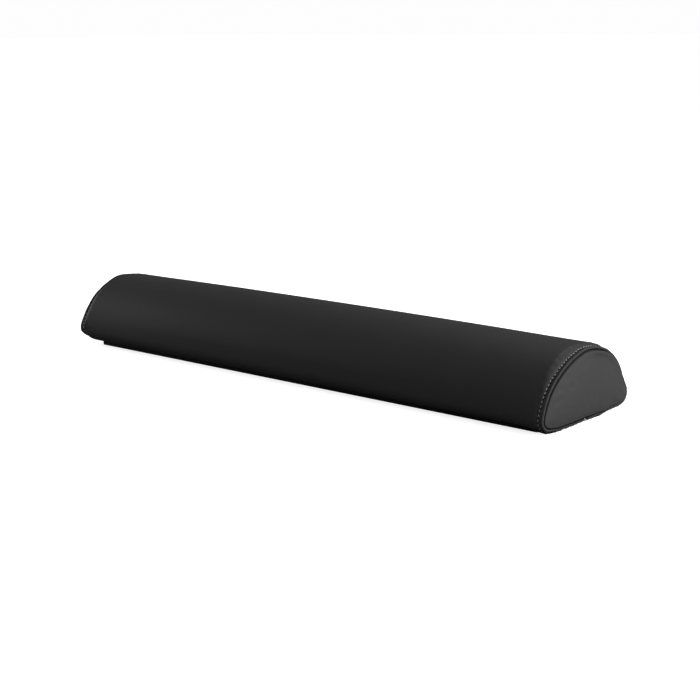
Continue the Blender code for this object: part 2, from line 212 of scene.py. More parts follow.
# Blender's Cloth, for the cover's swell over the foam and for the end panel's crown
FOAM_PRESSURE = 4.0
SHEET_MASS = 0.01
CLOTH_QUALITY = 6
CLOTH_FRAMES = 20
SWELL_ROWS = 49
SWELL_LIMIT = 0.35
SWELL_FADE = 0.05
SWELL_HEIGHTS = (0.009, 0.029)
SMOOTHINGS = 3
HELD_HEM = 0.004
CROWN_STEP = 6

# The thread ends: the points of each, from a place behind the ridge at the join, and the thread's radius
THREAD_ENDS = (
    ((0.0, -0.0026, 0.0004), (0.0022, -0.0036, 0.0), (0.0024, -0.0040, -0.0018)),
    ((0.0, -0.0022, 0.0006), (0.0024, -0.0026, 0.0002), (0.0026, -0.0034, -0.0016)),
    ((0.0, -0.0026, 0.0010), (0.0022, -0.0044, 0.0012), (0.0024, -0.0054, 0.0018)),
)
THREAD_END_BACK = 0.0012
THREAD_END_RADIUS = 0.00028

# The stage: where its lamps stand, the tones of its floor and room, and the photograph's camera, whose
# angles are its turn, rise and roll, and whose place is measured along its own axes
LAMP_SIZE = 0.9
LAMP_TARGET = (0.0, 0.0, 0.04)
LAMPS = {
    "right": (1.76, 0.0, 0.41),
    "corner": (1.52, 0.88, 0.41),
    "top": (0.0, 0.76, 1.67),
    "left": (-1.73, -0.31, 0.41),
}
WHITE = (1.0, 1.0, 1.0, 1.0)
FLOOR_HALF = 30.0
FLOOR_GLOW = 0.83
FLOOR_BOUNCE = 0.30
FLOOR_SEEN = 0.85
ROOM_SEEN = 0.985
CAMERA_ANGLES = (41.219, 12.359, -0.523)
CAMERA_PLACE = (0.026033, 0.02744, 1.718098)
LENS = 77.7155


def hex_colour(code):
    """An sRGB hex value as linear red, green, blue and alpha."""
    parts = [int(code[i : i + 2], 16) / 255 for i in (1, 3, 5)]
    return tuple(c / 12.92 if c <= 0.04045 else ((c + 0.055) / 1.055) ** 2.4 for c in parts) + (1.0,)


def shaded(colour, factor):
    """A colour made lighter or darker by a factor."""
    return tuple(c * factor for c in colour[:3]) + (1.0,)


def feed(tree, target, source):
    """Give an input socket a value, a link from another socket, or one from a node's first output."""
    if isinstance(source, bpy.types.Node):
        source = next(socket for socket in source.outputs if socket.enabled)
    if isinstance(source, bpy.types.NodeSocket):
        tree.links.new(source, target)
    else:
        target.default_value = source


def add_node(tree, kind, links=None, **settings):
    """Add a node with its settings. Links maps an input's name or number to what feeds it."""
    node = tree.nodes.new(kind)
    for name, value in settings.items():
        setattr(node, name, value)
    for key, source in (links or {}).items():
        named = (socket for socket in node.inputs if socket.name == key and socket.enabled)
        feed(tree, node.inputs[key] if isinstance(key, int) else next(named), source)
    return node


class BolsterCover(bpy.types.PropertyGroup):
    """Sizes of the cover, its end seams and the end panels."""

    crown: FloatProperty(
        name="Crown",
        description="How much higher the back is at mid length than at its ends",
        default=0.0022,
        unit="LENGTH",
    )
    draw_in: FloatProperty(
        name="Draw-in",
        description="Length at each end over which the cover comes down from the body to the ridge",
        default=0.0125,
        unit="LENGTH",
    )
    fold_radius: FloatProperty(
        name="Fold radius",
        description="Radius of the rolled ridge round each end panel",
        default=0.00135,
        unit="LENGTH",
    )
    furrow_depth: FloatProperty(
        name="Furrow depth",
        description="How deep the topstitches pull the vinyl in",
        default=0.0006,
        unit="LENGTH",
    )
    swell: FloatProperty(
        name="Swell",
        description="How far the vinyl swells over the foam",
        default=0.0010,
        unit="LENGTH",
    )
    panel_rise: FloatProperty(
        name="Panel rise",
        description="How far each end panel is crowned beyond its rim",
        default=PANEL_HIGH.x - RIDGE_X - PANEL_PROUD,
        unit="LENGTH",
    )


class BolsterStitches(bpy.types.PropertyGroup):
    """Sizes of the topstitch rows."""

    count: IntProperty(
        name="Stitches",
        description="Number of stitches round each end",
        default=STITCHES,
        min=20,
    )
    length: FloatProperty(
        name="Stitch length",
        description="Visible thread between two needle holes",
        default=0.0031,
        unit="LENGTH",
    )
    thread: FloatProperty(
        name="Thread",
        description="Thickness of the bonded polyester thread",
        default=0.0009,
        unit="LENGTH",
    )
    seed: IntProperty(
        name="Seed",
        description="Seed of the small differences between stitches",
        default=7,
    )


class BolsterColours(bpy.types.PropertyGroup):
    """Colours of the finishes."""

    vinyl: FloatVectorProperty(
        name="Vinyl",
        description="Black upholstery vinyl",
        subtype="COLOR",
        size=4,
        default=hex_colour("#2e2e2e"),
    )
    # Light grey, lighter than the charcoal thread it stands for, so the stitches show as bright dots: thread
    # colour plus painted highlight
    thread: FloatVectorProperty(
        name="Thread",
        description="Topstitching thread",
        subtype="COLOR",
        size=4,
        default=hex_colour("#8a8a8a"),
    )
    loose_end: FloatVectorProperty(
        name="Loose end",
        description="Pale seam thread",
        subtype="COLOR",
        size=4,
        default=hex_colour("#d8d6d0"),
    )
    rubber: FloatVectorProperty(
        name="Rubber",
        description="Rubber base pad",
        subtype="COLOR",
        size=4,
        default=hex_colour("#1e1e1e"),
    )


class BolsterStage(bpy.types.PropertyGroup):
    """Powers of the studio lamps, and the room's light."""

    right: FloatProperty(name="Right lamp", description="At the right end", default=37.0, unit="POWER")
    corner: FloatProperty(name="Corner lamp", description="Behind the right end", default=13.0, unit="POWER")
    top: FloatProperty(name="Top lamp", description="Above the back", default=14.0, unit="POWER")
    left: FloatProperty(name="Left lamp", description="At the left end", default=13.0, unit="POWER")
    room: FloatProperty(name="Room light", description="Strength of the room's even light", default=0.20)


# Materials


def new_material(name):
    """A material with its tree and the object's own coordinates."""
    material = bpy.data.materials.new(name)
    material.use_nodes = True
    tree = material.node_tree
    return material, tree, add_node(tree, "ShaderNodeTexCoord").outputs["Object"]


def finished(material, inputs, tones=None, bump=None):
    """Feed a material's shader. Tones are a factor and two colours, a bump a height, strength and depth."""
    tree = material.node_tree
    if tones:
        mixed = dict(zip(("Factor", "A", "B"), tones))
        inputs["Base Color"] = add_node(tree, "ShaderNodeMix", mixed, data_type="RGBA")
    if bump:
        relief = dict(zip(("Height", "Strength", "Distance"), bump))
        inputs["Normal"] = add_node(tree, "ShaderNodeBump", relief)
    for name, source in inputs.items():
        feed(tree, tree.nodes["Principled BSDF"].inputs[name], source)
    return material


def upholstery_vinyl(colour):
    """Polyurethane-faced upholstery vinyl, rolled with a fine leather grain: an even, semi-matt black."""
    material, tree, place = new_material("upholstery_vinyl_black")
    # Grain cells are about 0.7 mm on the real cloth, and are drawn at 1.1 mm so that they show. The pores
    # lie about 0.4 mm apart, and the faint clouds of tone and gloss are about 36 mm wide
    cells = add_node(tree, "ShaderNodeTexVoronoi", {"Vector": place, "Scale": 900.0}, feature="SMOOTH_F1")
    pores = add_node(tree, "ShaderNodeTexNoise", {"Vector": place, "Scale": 2600.0, "Detail": 2.0})
    grain = add_node(tree, "ShaderNodeMath", {0: pores, 1: 0.35, 2: cells}, operation="MULTIPLY_ADD")
    clouds = add_node(tree, "ShaderNodeTexNoise", {"Vector": place, "Scale": 28.0, "Detail": 3.0})
    gloss = add_node(tree, "ShaderNodeMapRange", {"Value": clouds, "To Min": 0.50, "To Max": 0.56})
    return finished(
        material,
        {"Roughness": gloss, "Specular IOR Level": 0.07},
        tones=(clouds, shaded(colour, 0.93), shaded(colour, 1.07)),
        bump=(grain, 0.12, 0.0002),
    )


def painted_shade_backing():
    """A near-black, matt, fine-ribbed knit laid on the hem's edge under each ridge as painted shade, for the
    dark line that shade makes there.
    """
    material, tree, place = new_material("knitted_polyester_backing")
    # The knit's loops are about 0.7 mm across
    loops = add_node(tree, "ShaderNodeTexVoronoi", {"Vector": place, "Scale": 1400.0})
    return finished(
        material,
        {"Roughness": 0.95, "Specular IOR Level": 0.05},
        tones=(loops, hex_colour("#0b0b0b"), hex_colour("#171717")),
        bump=(loops, 0.4, 0.0002),
    )


def bonded_thread(name, colour):
    """Bonded polyester thread: three twisted plies, seen as fine slanting bands with a slight sheen."""
    material, tree, _ = new_material(name)
    twist = add_node(tree, "ShaderNodeAttribute", attribute_name="twist").outputs["Fac"]
    turns = add_node(tree, "ShaderNodeMath", {0: twist, 1: 2 * math.pi}, operation="MULTIPLY")
    wave = add_node(tree, "ShaderNodeMath", {0: turns}, operation="SINE")
    plies = add_node(tree, "ShaderNodeMapRange", {"Value": wave, "From Min": -1.0})
    return finished(
        material,
        {"Roughness": 0.55, "Sheen Weight": 0.2},
        tones=(plies, shaded(colour, 0.7), shaded(colour, 1.15)),
        bump=(plies, 0.6, 0.0001),
    )


def sheet_rubber(colour):
    """Foamed rubber sheet: matt, with a fine closed-cell grain on its faces."""
    material, tree, place = new_material("foamed_rubber_black")
    # The closed cells are about 1.4 mm across, and the clouds of tone about 17 mm
    cells = add_node(tree, "ShaderNodeTexVoronoi", {"Vector": place, "Scale": 700.0})
    clouds = add_node(tree, "ShaderNodeTexNoise", {"Vector": place, "Scale": 60.0, "Detail": 4.0})
    return finished(
        material,
        {"Roughness": 0.8, "Specular IOR Level": 0.2},
        tones=(clouds, shaded(colour, 0.8), shaded(colour, 1.25)),
        bump=(cells, 0.3, 0.0003),
    )


def birch_plywood():
    """Sanded birch plywood: pale face veneers with a long fine figure, and dark end grain on the edges."""
    material, tree, place = new_material("birch_plywood_sanded")
    # The figure's streaks are about 5.5 mm wide and 80 mm long, along the board
    along = add_node(tree, "ShaderNodeMapping", {"Vector": place, "Scale": (6.0, 90.0, 90.0)})
    drawn = {"Vector": along, "Scale": 2.0, "Detail": 6.0, "Distortion": 0.4}
    figure = add_node(tree, "ShaderNodeTexNoise", drawn)
    height = add_node(tree, "ShaderNodeSeparateXYZ", {"Vector": place}).outputs["Z"]
    # One ply is 1.5 mm thick, and every second ply shows its end grain, so the pattern repeats every 3 mm
    turns = add_node(tree, "ShaderNodeMath", {0: height, 1: 2 * math.pi / 0.003}, operation="MULTIPLY")
    stripe = add_node(tree, "ShaderNodeMath", {0: turns}, operation="SINE")
    narrowed = {"Value": stripe, "From Min": -0.2, "From Max": 0.2, "To Min": 0.55}
    ply = add_node(tree, "ShaderNodeMapRange", narrowed)
    veneer = {"Factor": figure, "A": hex_colour("#b98d5a"), "B": hex_colour("#dcb98a")}
    wood = add_node(tree, "ShaderNodeMix", veneer, data_type="RGBA")
    return finished(
        material,
        {"Roughness": 0.6},
        tones=(ply, hex_colour("#8f6238"), wood),
        bump=(figure, 0.15, 0.0002),
    )


def cut_foam(name, dark, light, cell, strength):
    """Polyurethane foam with cut faces: open cells of a given size over an even ground, fully matt."""
    material, tree, place = new_material(name)
    cells = add_node(tree, "ShaderNodeTexVoronoi", {"Vector": place, "Scale": 1.0 / cell})
    return finished(
        material,
        {"Roughness": 0.95},
        tones=(cells, hex_colour(dark), hex_colour(light)),
        bump=(cells, strength, 0.0005),
    )


def soft_foam():
    """The soft open-cell foam that the comfort layer and the end pads share, about 0.8 mm cells."""
    name = "soft_white_open_cell_foam"
    return bpy.data.materials.get(name) or cut_foam(name, "#d9d5c8", "#efece2", 0.0008, 0.5)


def galvanised_wire():
    """Galvanised flat staple wire: drawn steel with a dull zinc skin and fine streaks."""
    material, tree, place = new_material("galvanised_steel_wire")
    # The streaks are about 0.7 mm apart
    streaks = add_node(tree, "ShaderNodeTexNoise", {"Vector": place, "Scale": 1500.0, "Detail": 3.0})
    gloss = add_node(tree, "ShaderNodeMapRange", {"Value": streaks, "To Min": 0.30, "To Max": 0.50})
    return finished(material, {"Base Color": hex_colour("#c3c4c2"), "Metallic": 1.0, "Roughness": gloss})


def vinyl_material(context):
    """The vinyl that the cover and the end panels share."""
    made = bpy.data.materials.get("upholstery_vinyl_black")
    return made or upholstery_vinyl(context.scene.bolster_colours.vinyl)


# Sections, and the rows of the sewn sheets


def at_shares(outline, shares):
    """Points at the given shares of an outline's whole length. The outline ends where it starts."""
    steps = np.linalg.norm(np.diff(outline, axis=0), axis=1)
    walked = np.concatenate([[0.0], np.cumsum(steps)])
    return np.stack([np.interp(shares * walked[-1], walked, outline[:, k]) for k in (0, 1)], 1)


def rounded_off(points):
    """Soften evenly spaced points round a closed outline with a bell-shaped filter."""
    length = np.linalg.norm(np.diff(points, axis=0, append=points[:1]), axis=1).sum()
    waves = np.fft.fftfreq(len(points), d=length / len(points))
    kept = np.exp(-2 * (math.pi * OUTLINE_ROUNDING * waves) ** 2)
    soft = np.fft.ifft(np.fft.fft(points[:, 0] + 1j * points[:, 1]) * kept)
    return np.stack([np.append(soft.real, soft.real[0]), np.append(soft.imag, soft.imag[0])], 1)


def section_outline(section):
    """A section's closed outline (y, z), from the underside's middle round the front, top and back."""
    flat = section.half_width - section.corner_y
    spring = section.bottom + section.corner_z
    turn = np.linspace(0.0, math.pi / 2, OUTLINE_STEPS)
    flat_y = np.linspace(0.0, flat, OUTLINE_STEPS)
    flat_z = np.full(OUTLINE_STEPS, section.bottom)
    corner_y = flat + section.corner_y * np.sin(turn)
    corner_z = spring - section.corner_z * np.cos(turn)
    arch_y = section.half_width * np.cos(turn).clip(0.0) ** (2 / section.power_y)
    arch_z = spring + (section.top - spring) * np.sin(turn) ** (2 / section.power_z)
    front = -np.concatenate([flat_y, corner_y[1:], arch_y[1:]])
    half = np.stack([front, np.concatenate([flat_z, corner_z[1:], arch_z[1:]])], 1)
    closed = np.concatenate([half, half[-2::-1] * (-1, 1)])
    return rounded_off(at_shares(closed, np.arange(OUTLINE_SAMPLES) / OUTLINE_SAMPLES))


def stitch_shares(stitches):
    """Shares of the outline for a ring's points, crowded together at the needle holes between stitches."""
    phase = np.arange(stitches * COLUMNS_PER_STITCH) / COLUMNS_PER_STITCH
    return (phase + HOLE_CROWDING / (2 * math.pi) * np.sin(2 * math.pi * phase)) / stitches


def fold_lift(sizes):
    """The lift of the sheet's outer face after it has been folded under."""
    return RIDGE_LIFT - 2 * sizes.fold_radius


def cover_rows(sizes):
    """Rows (x, lift, share) of the cover from mid length over the right ridge to the fold's hidden tip."""
    body_end = RIDGE_X - sizes.draw_in
    body = [(x, 0.0, 1.0) for x in np.linspace(0.0, body_end - CLOSER_FROM, BODY_ROWS)]
    body += [(body_end - before, 0.0, 1.0) for before in CLOSER_PLACES]
    near, far = STITCH_BACK + FURROW_HALF, STITCH_BACK - FURROW_HALF
    stretches = (
        (sizes.draw_in - SHOULDER_GAP, near + FURROW_GAP, SHOULDER_ROWS),
        (near, far, FURROW_ROWS),
        (far - FURROW_GAP, sizes.fold_radius + FOLD_GAP, RIDGE_ROWS),
    )
    slope = np.concatenate([np.linspace(*stretch) for stretch in stretches])
    lifts = RIDGE_LIFT * np.clip((sizes.draw_in - slope) / (sizes.draw_in - STITCH_BACK), 0.0, 1.0)
    band = [(RIDGE_X - back, lift, 1.0) for back, lift in zip(slope, lifts)]
    centre = RIDGE_LIFT - sizes.fold_radius
    fold = [
        (RIDGE_X - sizes.fold_radius * (1.0 - math.cos(t)), centre + sizes.fold_radius * math.sin(t), 1.0)
        for t in np.radians(np.linspace(90.0, -90.0, FOLD_ROWS))
    ]
    hidden = [(RIDGE_X - back, fold_lift(sizes), 1.0) for back in HIDDEN_BACKS]
    return body + band + fold + hidden


def panel_rim_lift(sizes):
    """The lift of the end panel's face, inside the bend of its flange."""
    return fold_lift(sizes) - PANEL_GAP - GROOVE_WIDTH - PANEL_BEND_RADIUS


def panel_rows(sizes):
    """Rows (x, lift, share) of the right end panel, from its flange's tip round the bend to its middle."""
    lift = fold_lift(sizes) - PANEL_GAP
    flange = [(RIDGE_X - STITCH_BACK, lift, 1.0), (RIDGE_X - GROOVE_DEPTH, lift - GROOVE_WIDTH, 1.0)]
    rim = RIDGE_X + PANEL_PROUD
    rim_lift = panel_rim_lift(sizes)
    bend = [
        (rim - PANEL_BEND_RADIUS * (1.0 - math.cos(t)), rim_lift + PANEL_BEND_RADIUS * math.sin(t), 1.0)
        for t in np.radians(np.linspace(90.0, 0.0, BEND_ROWS))
    ]
    shares = 1.0 - np.linspace(0.0, 1.0, DOME_ROWS)[1:] ** DOME_SPACING
    rise = sizes.panel_rise * (1.0 - shares**DOME_POWER)
    return flange + bend + [(rim + x, rim_lift, share) for x, share in zip(rise, shares)]


def pad_rows(sizes):
    """Rows (x, lift, share) of the right end pad: its flat back, its side and its dome."""
    lift = panel_rim_lift(sizes) - PANEL_GAP
    rim = RIDGE_X + PANEL_PROUD - PAD_INSET
    edge = lift - PAD_EDGE
    back = [(PAD_BACK_X, lift, share) for share in (0.0, 0.5, 0.9, 1.0)]
    side = [(rim - PAD_SIDE, lift, 1.0), (rim - PAD_EDGE, lift - PAD_BEVEL, 1.0), (rim, edge, 1.0)]
    shares = np.linspace(1.0, 0.0, PAD_DOME_ROWS)[1:]
    rise = PAD_RISE * sizes.panel_rise * (1.0 - shares**DOME_POWER)
    return back + side + [(rim + x, edge, share) for x, share in zip(rise, shares)]


def mirrored(rows):
    """The right half's rows turned into the left half's, in order along X."""
    return [(-x, lift, share) for x, lift, share in reversed(rows)]


# Geometry Nodes


def link(made):
    """Put an object in the scene."""
    bpy.context.scene.collection.objects.link(made)
    return made


def guide_points(name, points):
    """An object that only holds points, for a node tree to read."""
    mesh = bpy.data.meshes.new(name)
    mesh.from_pydata([tuple(float(value) for value in point) for point in points], [], [])
    return link(bpy.data.objects.new(name, mesh))


def guide_curve(name, points, cyclic):
    """A curve through the points, for a node tree to read."""
    curve = bpy.data.curves.new(name, "CURVE")
    curve.dimensions = "3D"
    spline = curve.splines.new("POLY")
    spline.points.add(len(points) - 1)
    for point, place in zip(spline.points, points):
        point.co = (*(float(value) for value in place), 1.0)
    spline.use_cyclic_u = cyclic
    return link(bpy.data.objects.new(name, curve))


def new_tree(name, inputs):
    """A Geometry Nodes tree with named inputs and one geometry output, and its input sockets."""
    tree = bpy.data.node_groups.new(name, "GeometryNodeTree")
    tree.interface.new_socket("Geometry", in_out="OUTPUT", socket_type="NodeSocketGeometry")
    for label, kind in inputs.items():
        tree.interface.new_socket(label, in_out="INPUT", socket_type=f"NodeSocket{kind}")
    return tree, add_node(tree, "NodeGroupInput").outputs


def close_tree(tree, geometry, material):
    """End a tree in Realize Instances and Set Material, and pass its geometry out."""
    smooth = add_node(tree, "GeometryNodeSetShadeSmooth", {"Geometry": geometry})
    real = add_node(tree, "GeometryNodeRealizeInstances", {"Geometry": smooth})
    dressed = add_node(tree, "GeometryNodeSetMaterial", {"Geometry": real, "Material": material})
    add_node(tree, "NodeGroupOutput", {"Geometry": dressed})


def run_tree(name, tree, values):
    """The plain mesh that a Geometry Nodes tree makes from its inputs. Its guide objects are removed."""
    holder = link(bpy.data.objects.new(name, bpy.data.meshes.new(name)))
    modifier = holder.modifiers.new(tree.name, "NODES")
    modifier.node_group = tree
    for item in tree.interface.items_tree:
        if item.in_out == "INPUT":
            modifier[item.identifier] = values[item.name]
    evaluated = holder.evaluated_get(bpy.context.evaluated_depsgraph_get())
    mesh = bpy.data.meshes.new_from_object(evaluated)
    mesh.name = name
    # The holder has no material, and its empty slot comes before the tree's
    while mesh.materials[0] is None:
        mesh.materials.pop(index=0)
    guides = [value for value in values.values() if isinstance(value, bpy.types.Object)]
    for helper in [holder, *guides]:
        bpy.data.objects.remove(helper, do_unlink=True)
    return mesh


def sewn_sheet_tree():
    """A sheet lofted through two sections, one grid row for each edge row.

    An edge row holds an X, a lift along the section's outward normal, and a share by which the ring is
    shrunk towards the end panel's middle. Rings near the ridge pass from the body's section to the seam's.
    """
    tree, given = new_tree(
        "sewn sheet",
        {
            "Body Section": "Object",
            "Seam Section": "Object",
            "Edge Rows": "Object",
            "Rows": "Int",
            "Columns": "Int",
            "Ridge X": "Float",
            "Stitch Back": "Float",
            "Draw In": "Float",
            "Crown": "Float",
            "Spring Height": "Float",
            "Top Height": "Float",
            "Middle": "Vector",
            "Level Patch": "Vector",
            "Material": "Material",
        },
    )
    one_more = add_node(tree, "ShaderNodeMath", {0: given["Columns"], 1: 1.0}, operation="ADD")
    grid = add_node(tree, "GeometryNodeMeshGrid", {"Vertices X": given["Rows"], "Vertices Y": one_more})
    index = add_node(tree, "GeometryNodeInputIndex")
    column = add_node(tree, "ShaderNodeMath", {0: index, 1: one_more}, operation="MODULO")
    wrapped = add_node(tree, "ShaderNodeMath", {0: column, 1: given["Columns"]}, operation="MODULO")
    middle_of_cell = add_node(tree, "ShaderNodeMath", {0: index, 1: 0.5}, operation="ADD")
    quotient = add_node(tree, "ShaderNodeMath", {0: middle_of_cell, 1: one_more}, operation="DIVIDE")
    row = add_node(tree, "ShaderNodeMath", {0: quotient}, operation="FLOOR")

    place = add_node(tree, "GeometryNodeInputPosition")
    tangent = add_node(tree, "GeometryNodeInputTangent")
    read = {}
    for label, source, value, number in (
        ("body", "Body Section", place, wrapped),
        ("body tangent", "Body Section", tangent, wrapped),
        ("seam", "Seam Section", place, wrapped),
        ("seam tangent", "Seam Section", tangent, wrapped),
        ("edge", "Edge Rows", place, row),
    ):
        guide = add_node(tree, "GeometryNodeObjectInfo", {"Object": given[source]}).outputs["Geometry"]
        read[label] = add_node(
            tree,
            "GeometryNodeSampleIndex",
            {"Geometry": guide, "Value": value, "Index": number},
            data_type="FLOAT_VECTOR",
            domain="POINT",
        )
    edge = add_node(tree, "ShaderNodeSeparateXYZ", {"Vector": read["edge"]}).outputs
    along_x = add_node(tree, "ShaderNodeMath", {0: edge["X"]}, operation="ABSOLUTE")

    from_middle = add_node(tree, "ShaderNodeMath", {0: along_x, 1: given["Ridge X"]}, operation="DIVIDE")
    squared = add_node(tree, "ShaderNodeMath", {0: from_middle, 1: 2.0}, operation="POWER")
    drop = add_node(tree, "ShaderNodeMath", {0: squared, 1: given["Crown"]}, operation="MULTIPLY")
    body = add_node(tree, "ShaderNodeSeparateXYZ", {"Vector": read["body"]}).outputs
    up_the_arch = add_node(
        tree,
        "ShaderNodeMapRange",
        {"Value": body["Z"], "From Min": given["Spring Height"], "From Max": given["Top Height"]},
    )
    lowered = add_node(tree, "ShaderNodeMath", {0: drop, 1: up_the_arch}, operation="MULTIPLY")
    height = add_node(tree, "ShaderNodeMath", {0: body["Z"], 1: lowered}, operation="SUBTRACT")
    crowned = add_node(tree, "ShaderNodeCombineXYZ", {"Y": body["Y"], "Z": height})

    back = add_node(tree, "ShaderNodeMath", {0: given["Ridge X"], 1: along_x}, operation="SUBTRACT")
    down_shoulder = add_node(
        tree,
        "ShaderNodeMapRange",
        {
            "Value": back,
            "From Min": given["Stitch Back"],
            "From Max": given["Draw In"],
            "To Min": 1.0,
            "To Max": 0.0,
        },
    )
    drawn_in = add_node(tree, "ShaderNodeMath", {0: down_shoulder, 1: SHOULDER_POWER}, operation="POWER")
    ring = add_node(
        tree, "ShaderNodeMix", {"Factor": drawn_in, "A": crowned, "B": read["seam"]}, data_type="VECTOR"
    )
    heading = add_node(
        tree,
        "ShaderNodeMix",
        {"Factor": drawn_in, "A": read["body tangent"], "B": read["seam tangent"]},
        data_type="VECTOR",
    )
    outward = add_node(
        tree, "ShaderNodeVectorMath", {0: (1.0, 0.0, 0.0), 1: heading}, operation="CROSS_PRODUCT"
    )
    unit = add_node(tree, "ShaderNodeVectorMath", {0: outward}, operation="NORMALIZE")
    lift = add_node(tree, "ShaderNodeVectorMath", {0: unit, "Scale": edge["Y"]}, operation="SCALE")
    lifted = add_node(tree, "ShaderNodeVectorMath", {0: ring, 1: lift}, operation="ADD")

    spoke = add_node(tree, "ShaderNodeVectorMath", {0: lifted, 1: given["Middle"]}, operation="SUBTRACT")
    patch = add_node(tree, "ShaderNodeVectorMath", {0: spoke, 1: given["Level Patch"]}, operation="MULTIPLY")
    shrunk = add_node(
        tree, "ShaderNodeMix", {"Factor": edge["Z"], "A": patch, "B": spoke}, data_type="VECTOR"
    )
    centred = add_node(tree, "ShaderNodeVectorMath", {0: shrunk, 1: given["Middle"]}, operation="ADD")
    along = add_node(tree, "ShaderNodeCombineXYZ", {"X": edge["X"]})
    final = add_node(tree, "ShaderNodeVectorMath", {0: centred, 1: along}, operation="ADD")
    shaped = add_node(tree, "GeometryNodeSetPosition", {"Geometry": grid.outputs["Mesh"], "Position": final})
    close_tree(tree, shaped, given["Material"])
    return tree


def sewn_sheet(name, rows, shares, sizes, material):
    """Loft a sheet through the rows, and return its mesh with its points as rows of columns."""
    ends = {}
    for label, section in (("Body Section", BODY), ("Seam Section", SEAM)):
        points = at_shares(section_outline(section), shares)
        ends[label] = guide_curve(label, np.insert(points, 0, 0.0, axis=1), cyclic=True)
    inset = -panel_rim_lift(sizes)
    low = SEAM.bottom + inset
    values = {
        **ends,
        "Edge Rows": guide_points("Edge Rows", rows),
        "Rows": len(rows),
        "Columns": len(shares),
        "Ridge X": RIDGE_X,
        "Stitch Back": STITCH_BACK,
        "Draw In": sizes.draw_in,
        "Crown": sizes.crown,
        "Spring Height": BODY.bottom + BODY.corner_z,
        "Top Height": BODY.top,
        "Middle": (0.0, 0.0, low + DOME_CENTRE * (SEAM.top - inset - low)),
        "Level Patch": LEVEL_PATCH,
        "Material": material,
    }
    tree = bpy.data.node_groups.get("sewn sheet") or sewn_sheet_tree()
    mesh = run_tree(name, tree, values)
    return mesh, points_of(mesh).reshape(len(rows), -1, 3)


# Moving the points of a sheet


def points_of(mesh):
    """A mesh's points as an array."""
    flat = np.empty(len(mesh.vertices) * 3, np.float32)
    mesh.vertices.foreach_get("co", flat)
    return flat.reshape(-1, 3).astype(float)


def outward_normals(grid):
    """Unit normals of a grid of points, on the side that shows."""
    normal = np.cross(np.gradient(grid, axis=0), np.gradient(grid, axis=1))
    return normal / np.linalg.norm(normal, axis=2, keepdims=True).clip(1e-12)


def bell(distance, width):
    """A smooth bump, 1 at no distance and near 0 past twice the width."""
    return np.exp(-((distance / width) ** 2))


def ramp(value, start, end):
    """A smooth step from 0 at the start to 1 at the end."""
    t = np.clip((value - start) / (end - start), 0.0, 1.0)
    return t * t * (3 - 2 * t)


def wander(turns, cycles, seed):
    """A smooth random line round a ring that closes on itself, within -1 to 1."""
    chance = np.random.default_rng(seed)
    total = sum(chance.normal() * np.cos(2 * math.pi * k * turns + chance.uniform(0, 6.28)) for k in cycles)
    return total / np.abs(total).max()


def between(values, places, wanted, closed=False):
    """A smooth line through evenly spaced values, read at the wanted places."""
    step = places[1] - places[0]
    t = (wanted - places[0]) / step
    count = len(values)
    number = np.floor(t).astype(int)
    part = (t - number)[:, None, None]
    pick = [(number + k) % count if closed else (number + k).clip(0, count - 1) for k in (-1, 0, 1, 2)]
    a, b, c, d = (values[index] for index in pick)
    return b + 0.5 * part * (c - a + part * (2 * a - 5 * b + 4 * c - d + part * (3 * (b - c) + d - a)))


def pushed_out(grid, held, panel=False):
    """How far foam pushes a held sheet of vinyl outwards: Blender's Cloth under pressure, without gravity.

    A panel's sheet is closed round its ring and over its middle.
    """
    rows, columns = grid.shape[:2]
    index = np.arange(rows * columns).reshape(rows, columns)
    points = grid.reshape(-1, 3).tolist()
    cap = []
    if panel:
        points.append(grid[-1].mean(0).tolist())
        index = np.append(index, index[:, :1], axis=1)
        inner = index[-1].tolist()
        cap = [(near, rows * columns, far) for near, far in zip(inner[:-1], inner[1:])]
    corners = (index[:-1, :-1], index[1:, :-1], index[1:, 1:], index[:-1, 1:])
    mesh = bpy.data.meshes.new("swelling vinyl")
    mesh.from_pydata(points, [], np.stack(corners, -1).reshape(-1, 4).tolist() + cap)
    vinyl = link(bpy.data.objects.new("swelling vinyl", mesh))
    sewn = vinyl.vertex_groups.new(name="sewn")
    sewn.add(np.flatnonzero(held).tolist(), 1.0, "REPLACE")
    cloth = vinyl.modifiers.new("foam pressure", "CLOTH").settings
    cloth.vertex_group_mass = sewn.name
    cloth.use_pressure = True
    cloth.uniform_pressure_force = FOAM_PRESSURE
    cloth.effector_weights.gravity = 0.0
    cloth.mass = SHEET_MASS
    cloth.quality = CLOTH_QUALITY
    for number in range(1, CLOTH_FRAMES + 1):
        bpy.context.scene.frame_set(number)
    evaluated = vinyl.evaluated_get(bpy.context.evaluated_depsgraph_get())
    moved = points_of(evaluated.to_mesh())[: rows * columns].reshape(grid.shape) - grid
    bpy.context.scene.frame_set(1)
    bpy.data.objects.remove(vinyl, do_unlink=True)
    return moved


def main_piece(name, mesh, replaced=()):
    """Put a finished mesh in the scene as a piece of the bolster."""
    piece = link(bpy.data.objects.new(name, mesh))
    for polygon in mesh.polygons:
        polygon.use_smooth = True
    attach(piece, BODY_NAME)
    if replaced:
        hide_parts(*replaced)
    return piece


def closed_sheet(mesh, points, unwanted=None):
    """Give a sheet its final points, leave out the unwanted faces, and weld its doubles."""
    mesh.vertices.foreach_set("co", points.reshape(-1).astype(np.float32))
    bm = bmesh.new()
    bm.from_mesh(mesh)
    if unwanted:
        gone = [face for face in bm.faces if unwanted(face.calc_center_median())]
        bmesh.ops.delete(bm, geom=gone, context="FACES")
    bmesh.ops.remove_doubles(bm, verts=bm.verts, dist=WELD)
    bm.to_mesh(mesh)
    bm.free()
    mesh.update()


def in_opening(place):
    """Whether a place lies in the opening that the hem leaves on the underside."""
    return abs(place.x) < OPENING_X and abs(place.y) < OPENING_Y and place.z < OPENING_TOP


